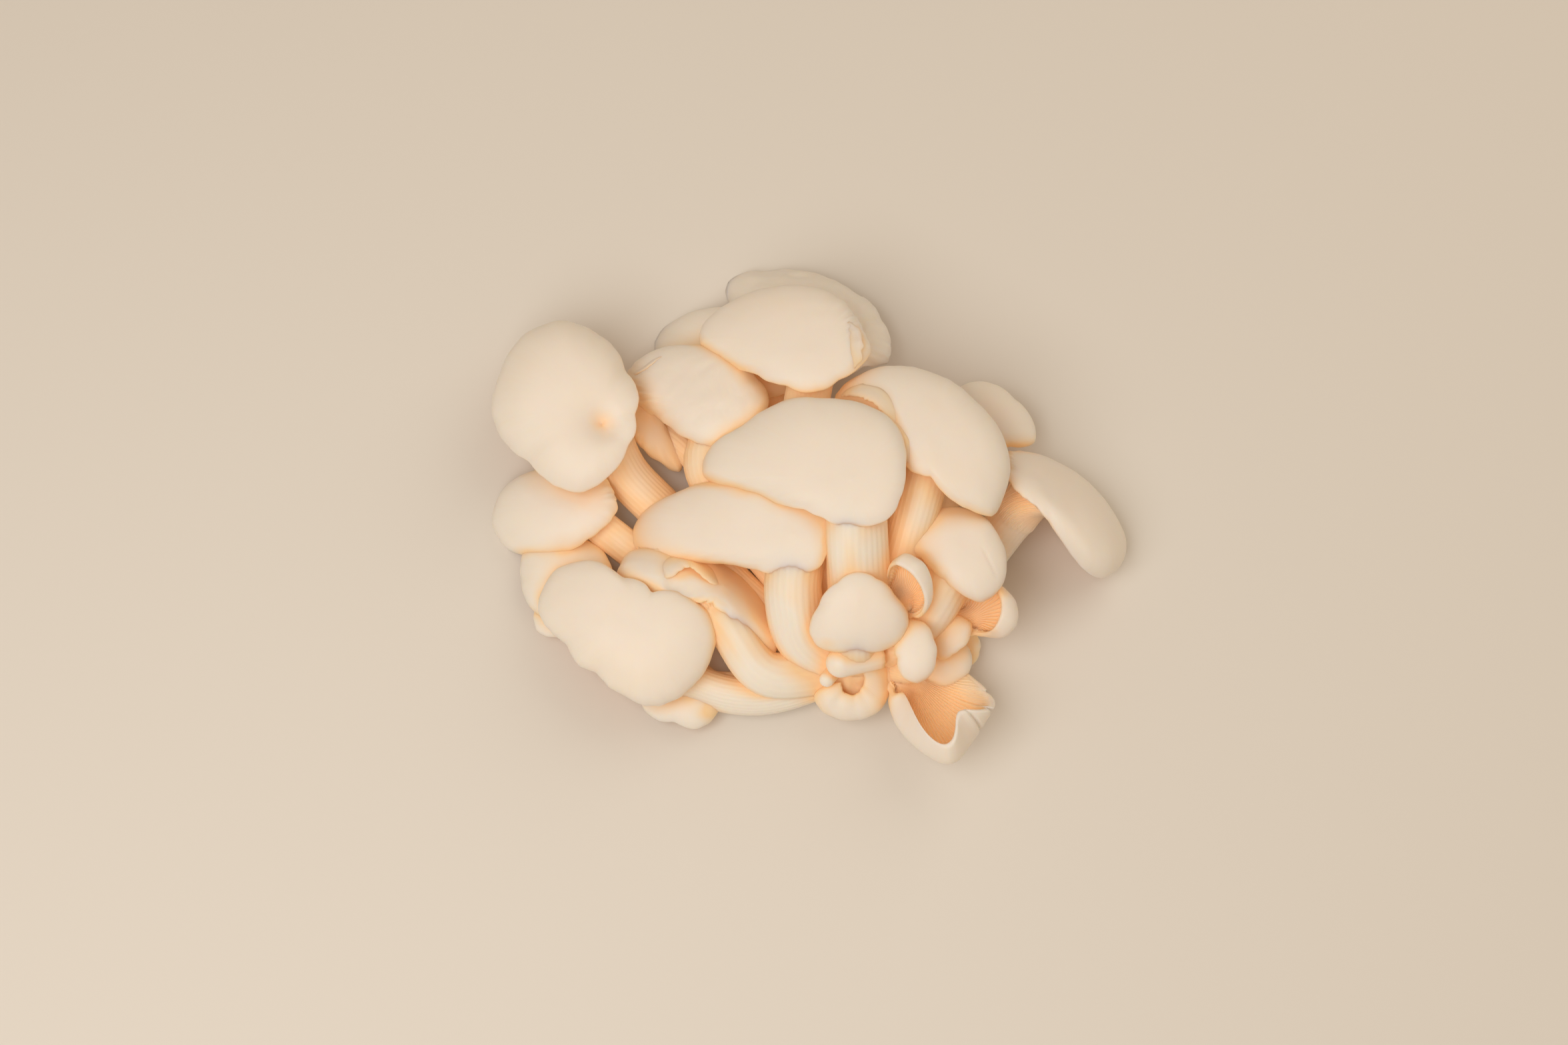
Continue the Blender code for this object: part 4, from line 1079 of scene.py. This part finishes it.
@dataclass(frozen=True)
class Flesh:
    """Cream flesh: waxy pale skin, gills warmed by painted shade, fibrous stems, and painted warm shade and a
    painted orange glow in the folds.
    """

    skin: Colour = (0.94, 0.85, 0.76, 1.0)
    skin_warm: Colour = (0.95, 0.81, 0.66, 1.0)
    # Gill colour: cream flesh, warmed with painted shade for the underside beneath the caps.
    gill_and_painted_shade: Colour = (0.97, 0.80, 0.61, 1.0)
    stem: Colour = (0.95, 0.87, 0.77, 1.0)
    # Painted warm shade for the folds, where the pieces hide each other.
    painted_fold_shade: Colour = (0.99, 0.68, 0.39, 1.0)
    # Painted orange glow in the folds: light given off by the flesh itself, not by a lamp.
    painted_glow: Colour = (1.0, 0.5, 0.2, 1.0)
    painted_glow_strength: float = 0.06
    roughness: float = 0.5
    glow: float = 0.5
    glow_radii: Place = (1.0, 0.75, 0.5)
    glow_depth: float = 0.004
    shine: float = 0.35
    streak_pace: float = 45.0
    # Range of the fold measure over which the painted warm shade comes in.
    painted_shade_range: Place = (0.08, 0.5, 0.9)
    grain_share: float = 0.35
    bump_strength: float = 0.12
    bump_distance: float = 0.0004

    def material(self) -> bpy.types.Material:
        """Build the finish from the pieces' own attributes and Object coordinates."""
        material = bpy.data.materials.new(SLOT)
        material.use_nodes = True
        wiring = Wiring(material.node_tree)
        add, sum_up = wiring.add, wiring.sum_up

        def trait(name: str) -> bpy.types.NodeSocket:
            """Read an attribute of the piece."""
            return add("ShaderNodeAttribute", None, "Fac", attribute_name=name)

        def noise(vector: bpy.types.NodeSocket, scale: float, detail: float) -> bpy.types.NodeSocket:
            """Add a noise pattern on the given coordinates."""
            return add("ShaderNodeTexNoise", {"Scale": scale, "Detail": detail, "Vector": vector})

        def blend(share: bpy.types.NodeSocket, first: object, second: object) -> bpy.types.NodeSocket:
            """Mix two colours, each a value or a socket."""
            return add("ShaderNodeMix", {0: share, 6: first, 7: second}, 2, data_type="RGBA")

        def ramp(value: bpy.types.NodeSocket, low: float, high: float, top: float) -> bpy.types.NodeSocket:
            """Stretch a value between low and high over 0 to top."""
            return add("ShaderNodeMapRange", {0: value, 1: low, 2: high, 4: top})

        place = add("ShaderNodeTexCoord", None, "Object")
        along = add("ShaderNodeCombineXYZ",
                    {0: sum_up("MULTIPLY", trait("sweep"), self.streak_pace), 1: trait("radial")})
        streak = noise(along, 2.0, 3.0)
        cloud = noise(place, 55.0, 3.0)
        grain = noise(place, 900.0, 2.0)

        faded = sum_up("MULTIPLY", ramp(streak, 0.5, 0.75, 0.35), ramp(trait("radial"), 0.3, 0.9, 1.0))
        colour = blend(faded, self.skin, self.skin_warm)
        colour = blend(ramp(cloud, 0.5, 0.8, 0.4), colour, self.skin_warm)
        colour = blend(trait("ribs"), colour, self.stem)
        # Gills: cream, with painted warm shade under the caps.
        colour = blend(trait("gills"), colour, self.gill_and_painted_shade)
        # Painted shade: orange where the pieces hide each other, standing in for warm shade and bounced light
        # in the folds.
        colour = blend(ramp(trait("painted_fold_shade"), *self.painted_shade_range), colour, self.painted_fold_shade)
        height = sum_up("MULTIPLY_ADD", grain, self.grain_share, faded)
        bump = add("ShaderNodeBump", {"Strength": self.bump_strength, "Distance": self.bump_distance,
                                      "Height": height})
        # The emission is the painted orange glow in the folds, rising with the fold measure.
        wiring.feed(material.node_tree.nodes["Principled BSDF"], {
            "Roughness": self.roughness, "Subsurface Weight": self.glow, "Subsurface Radius": self.glow_radii,
            "Subsurface Scale": self.glow_depth, "Specular IOR Level": self.shine, "Base Color": colour,
            "Emission Color": self.painted_glow, "Normal": bump,
            "Emission Strength": ramp(trait("painted_fold_shade"), 0.05, 0.7, self.painted_glow_strength)})
        return material


@dataclass
class Foot:
    """The knobby foot, with a bud and a stub beside it."""

    centre: Place = (24.0, -43.0, 10.0)
    radii: Place = (17.0, 13.0, 11.0)
    buds: tuple[tuple[Place, float, Place], ...] = (
        ((13.5, -53.2, 22.0), 2.4, (18.0, -46.0, 16.0)),
        ((17.8, -49.0, 26.0), 4.7, (30.1, -45.2, 23.0)),
    )
    columns: int = 96
    rings: int = 48
    ribs: float = 0.3
    knobs: float = 0.12
    roughness: float = 0.5
    rough_size: float = 5.0
    rough_seed: int = 77
    bud_columns: int = 48
    bud_tilts: tuple[float, float, int] = (0.06, 0.5, 14)
    bud_parts: tuple[float, float, int] = (0.1, 1.0, 10)

    def grow_foot(self) -> bpy.types.Object:
        """Make the foot as a lumpy ball."""
        sheet = MeshSheet()
        sheet.add_pole(self._knob(0.0, 0.0))
        for i in range(1, self.rings):
            tilt = math.pi * i / self.rings
            angles = np.arange(self.columns) * FULL_CIRCLE / self.columns
            sheet.add_ring(np.array([self._knob(tilt, angle) for angle in angles]), ribs=self.ribs)
        sheet.add_pole(self._knob(math.pi, 0.0))
        return sheet.to_object("foot")

    def _knob(self, tilt: float, angle: float) -> np.ndarray:
        """Place one point of the foot's skin."""
        x, y, z = math.sin(tilt) * math.cos(angle), math.sin(tilt) * math.sin(angle), math.cos(tilt)
        knob = 1.0 + self.knobs * math.sin(5.0 * x + 1.0) * math.sin(5.0 * y) * math.cos(4.0 * z)
        point = np.array((x, y, z)) * self.radii * knob + self.centre
        rough = float(waves(point[None, :], self.rough_size, self.rough_seed)[0])
        return point + self.roughness * rough * np.array((x, y, z))

    def grow_bud(self, number: int) -> bpy.types.Object:
        """Make one bud with its stalk."""
        place, radius, root = self.buds[number]
        place, root = np.array(place), np.array(root)
        length = np.linalg.norm(root - place)
        axis = (root - place) / length
        side = carried(np.array((1.0, 0.0, 0.0)), axis)
        other = np.cross(side, axis)
        angles = np.arange(self.bud_columns) * FULL_CIRCLE / self.bud_columns
        circle = np.outer(np.cos(angles), side) + np.outer(np.sin(angles), other)
        sheet = MeshSheet()
        sheet.add_pole(place - axis * radius)
        for tilt in np.linspace(*self.bud_tilts) * math.pi:
            centre = place - axis * radius * math.cos(tilt)
            sheet.add_ring(centre + radius * math.sin(tilt) * circle)
        for part in np.linspace(*self.bud_parts):
            sheet.add_ring(place + axis * length * part + radius * circle, ribs=part)
        sheet.add_pole(root + axis, ribs=1.0)
        return sheet.to_object(f"bud_{number}")


@dataclass
class Studio:
    """The pale floor, the soft light and the camera that looks down on the cluster."""

    aim: Place = (-0.0076, -0.00821, 0.020)
    elevation: float = 70.0
    distance: float = 1.0
    sensor: float = 36.0
    lens: float = 71.6
    floor_size: float = 6.0
    floor_colour: Colour = (0.80, 0.76, 0.70, 1.0)
    floor_roughness: float = 0.7
    sky_colour: Colour = (1.0, 0.79, 0.56, 1.0)
    sky_strength: float = 0.40

    def set_up(self) -> None:
        """Add the floor, the lights and the camera."""
        scene = bpy.context.scene
        scene.view_settings.view_transform = "Standard"
        self._add_floor()
        self._add_world()
        self._add_area("key", (-0.35, -0.45, 0.9), 0.8, 5.9, (1.0, 0.98, 0.96))
        self._add_area("fill", (0.6, 0.5, 0.8), 1.0, 2.4, (1.0, 0.93, 0.84))
        self._add_camera()

    def _add_floor(self) -> None:
        """Add the floor."""
        bpy.ops.mesh.primitive_plane_add(size=self.floor_size, location=(0.0, 0.0, 0.0))
        floor = bpy.context.object
        floor.name = "floor"
        material = bpy.data.materials.new("pale_floor")
        material.use_nodes = True
        surface = material.node_tree.nodes["Principled BSDF"]
        surface.inputs["Base Color"].default_value = self.floor_colour
        surface.inputs["Roughness"].default_value = self.floor_roughness
        floor.data.materials.append(material)

    def _add_world(self) -> None:
        """Add an even pale sky."""
        world = bpy.data.worlds.new("soft_room")
        bpy.context.scene.world = world
        world.use_nodes = True
        sky = world.node_tree.nodes["Background"]
        sky.inputs["Color"].default_value = self.sky_colour
        sky.inputs["Strength"].default_value = self.sky_strength

    def _add_area(self, name: str, place: Place, size: float, power: float, colour: Place) -> None:
        """Add a square soft light aimed at the cluster."""
        light = bpy.data.lights.new(name, "AREA")
        light.size = size
        light.energy = power
        light.color = colour
        lamp = bpy.data.objects.new(name, light)
        lamp.location = place
        lamp.rotation_euler = (Vector(self.aim) - Vector(place)).to_track_quat("-Z", "Y").to_euler()
        bpy.context.scene.collection.objects.link(lamp)

    def _add_camera(self) -> None:
        """Add the camera at the photograph's angle."""
        tilt = math.radians(self.elevation)
        view = Vector((0.0, math.cos(tilt), -math.sin(tilt)))
        camera = bpy.data.cameras.new("camera")
        camera.sensor_width = self.sensor
        camera.lens = self.lens
        eye = bpy.data.objects.new("camera", camera)
        eye.location = Vector(self.aim) - view * self.distance
        eye.rotation_euler = view.to_track_quat("-Z", "Y").to_euler()
        bpy.context.scene.collection.objects.link(eye)
        bpy.context.scene.camera = eye


class Cluster:
    """Grows every mushroom, dresses it and ties it to the body."""

    COLUMNS_PER_GILL = 6
    COLUMNS_PER_RIB = 4
    LUMP_COUNTS = (1, 12)
    LUMP_SEED = 3.0
    FIRST_SEED = 11

    def __init__(self) -> None:
        """Build the finish and the relief that all the pieces share."""
        self.relief = Relief()
        self.tree = self.relief.tree()
        self.material = Flesh().material()

    def grow(self) -> None:
        """Grow the mushrooms, the foot and the buds."""
        pieces = []
        for seed, spec in enumerate(MUSHROOMS, start=self.FIRST_SEED):
            growth = Gilled(spec, seed)
            piece = growth.grow()
            counts = (growth.grain.gill_columns // self.COLUMNS_PER_GILL,
                      growth.grain.stem_columns // self.COLUMNS_PER_RIB)
            self._raise(piece, counts, growth.touch.gill_depth, float(seed))
            pieces.append(piece)
        caps = {piece.name: piece for piece in pieces}
        foot = Foot()
        lumps = [foot.grow_foot()] + [foot.grow_bud(number) for number in range(len(foot.buds))]
        lumps += [flap.grow(caps[flap.cap]) for flap in FLAPS]
        for piece in lumps:
            self._raise(piece, self.LUMP_COUNTS, 0.0, self.LUMP_SEED)
        pieces.extend(lumps)
        # Occlusion among the pieces, stored for the painted warm shade and painted glow in the folds.
        PaintedShadeMeasure().measure(pieces)
        for piece in pieces:
            self._hand_over(piece)

    def _raise(self, piece: bpy.types.Object, counts: tuple[int, int], depth: float, seed: float) -> None:
        """Raise the relief on a piece and give it the shared finish."""
        self.relief.apply(piece, self.tree, self.material, counts, depth, seed)

    def _hand_over(self, piece: bpy.types.Object) -> None:
        """Tie a piece to the body, hide the imported solid and log the piece's faces."""
        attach(piece, BODY)
        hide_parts(NODE)
        LOG.info("%s: %d faces", piece.name, len(piece.data.polygons))


def main() -> None:
    """Build the cluster and the studio."""
    logging.basicConfig(level=logging.INFO)
    Cluster().grow()
    Studio().set_up()


if __name__ == "__main__":
    main()
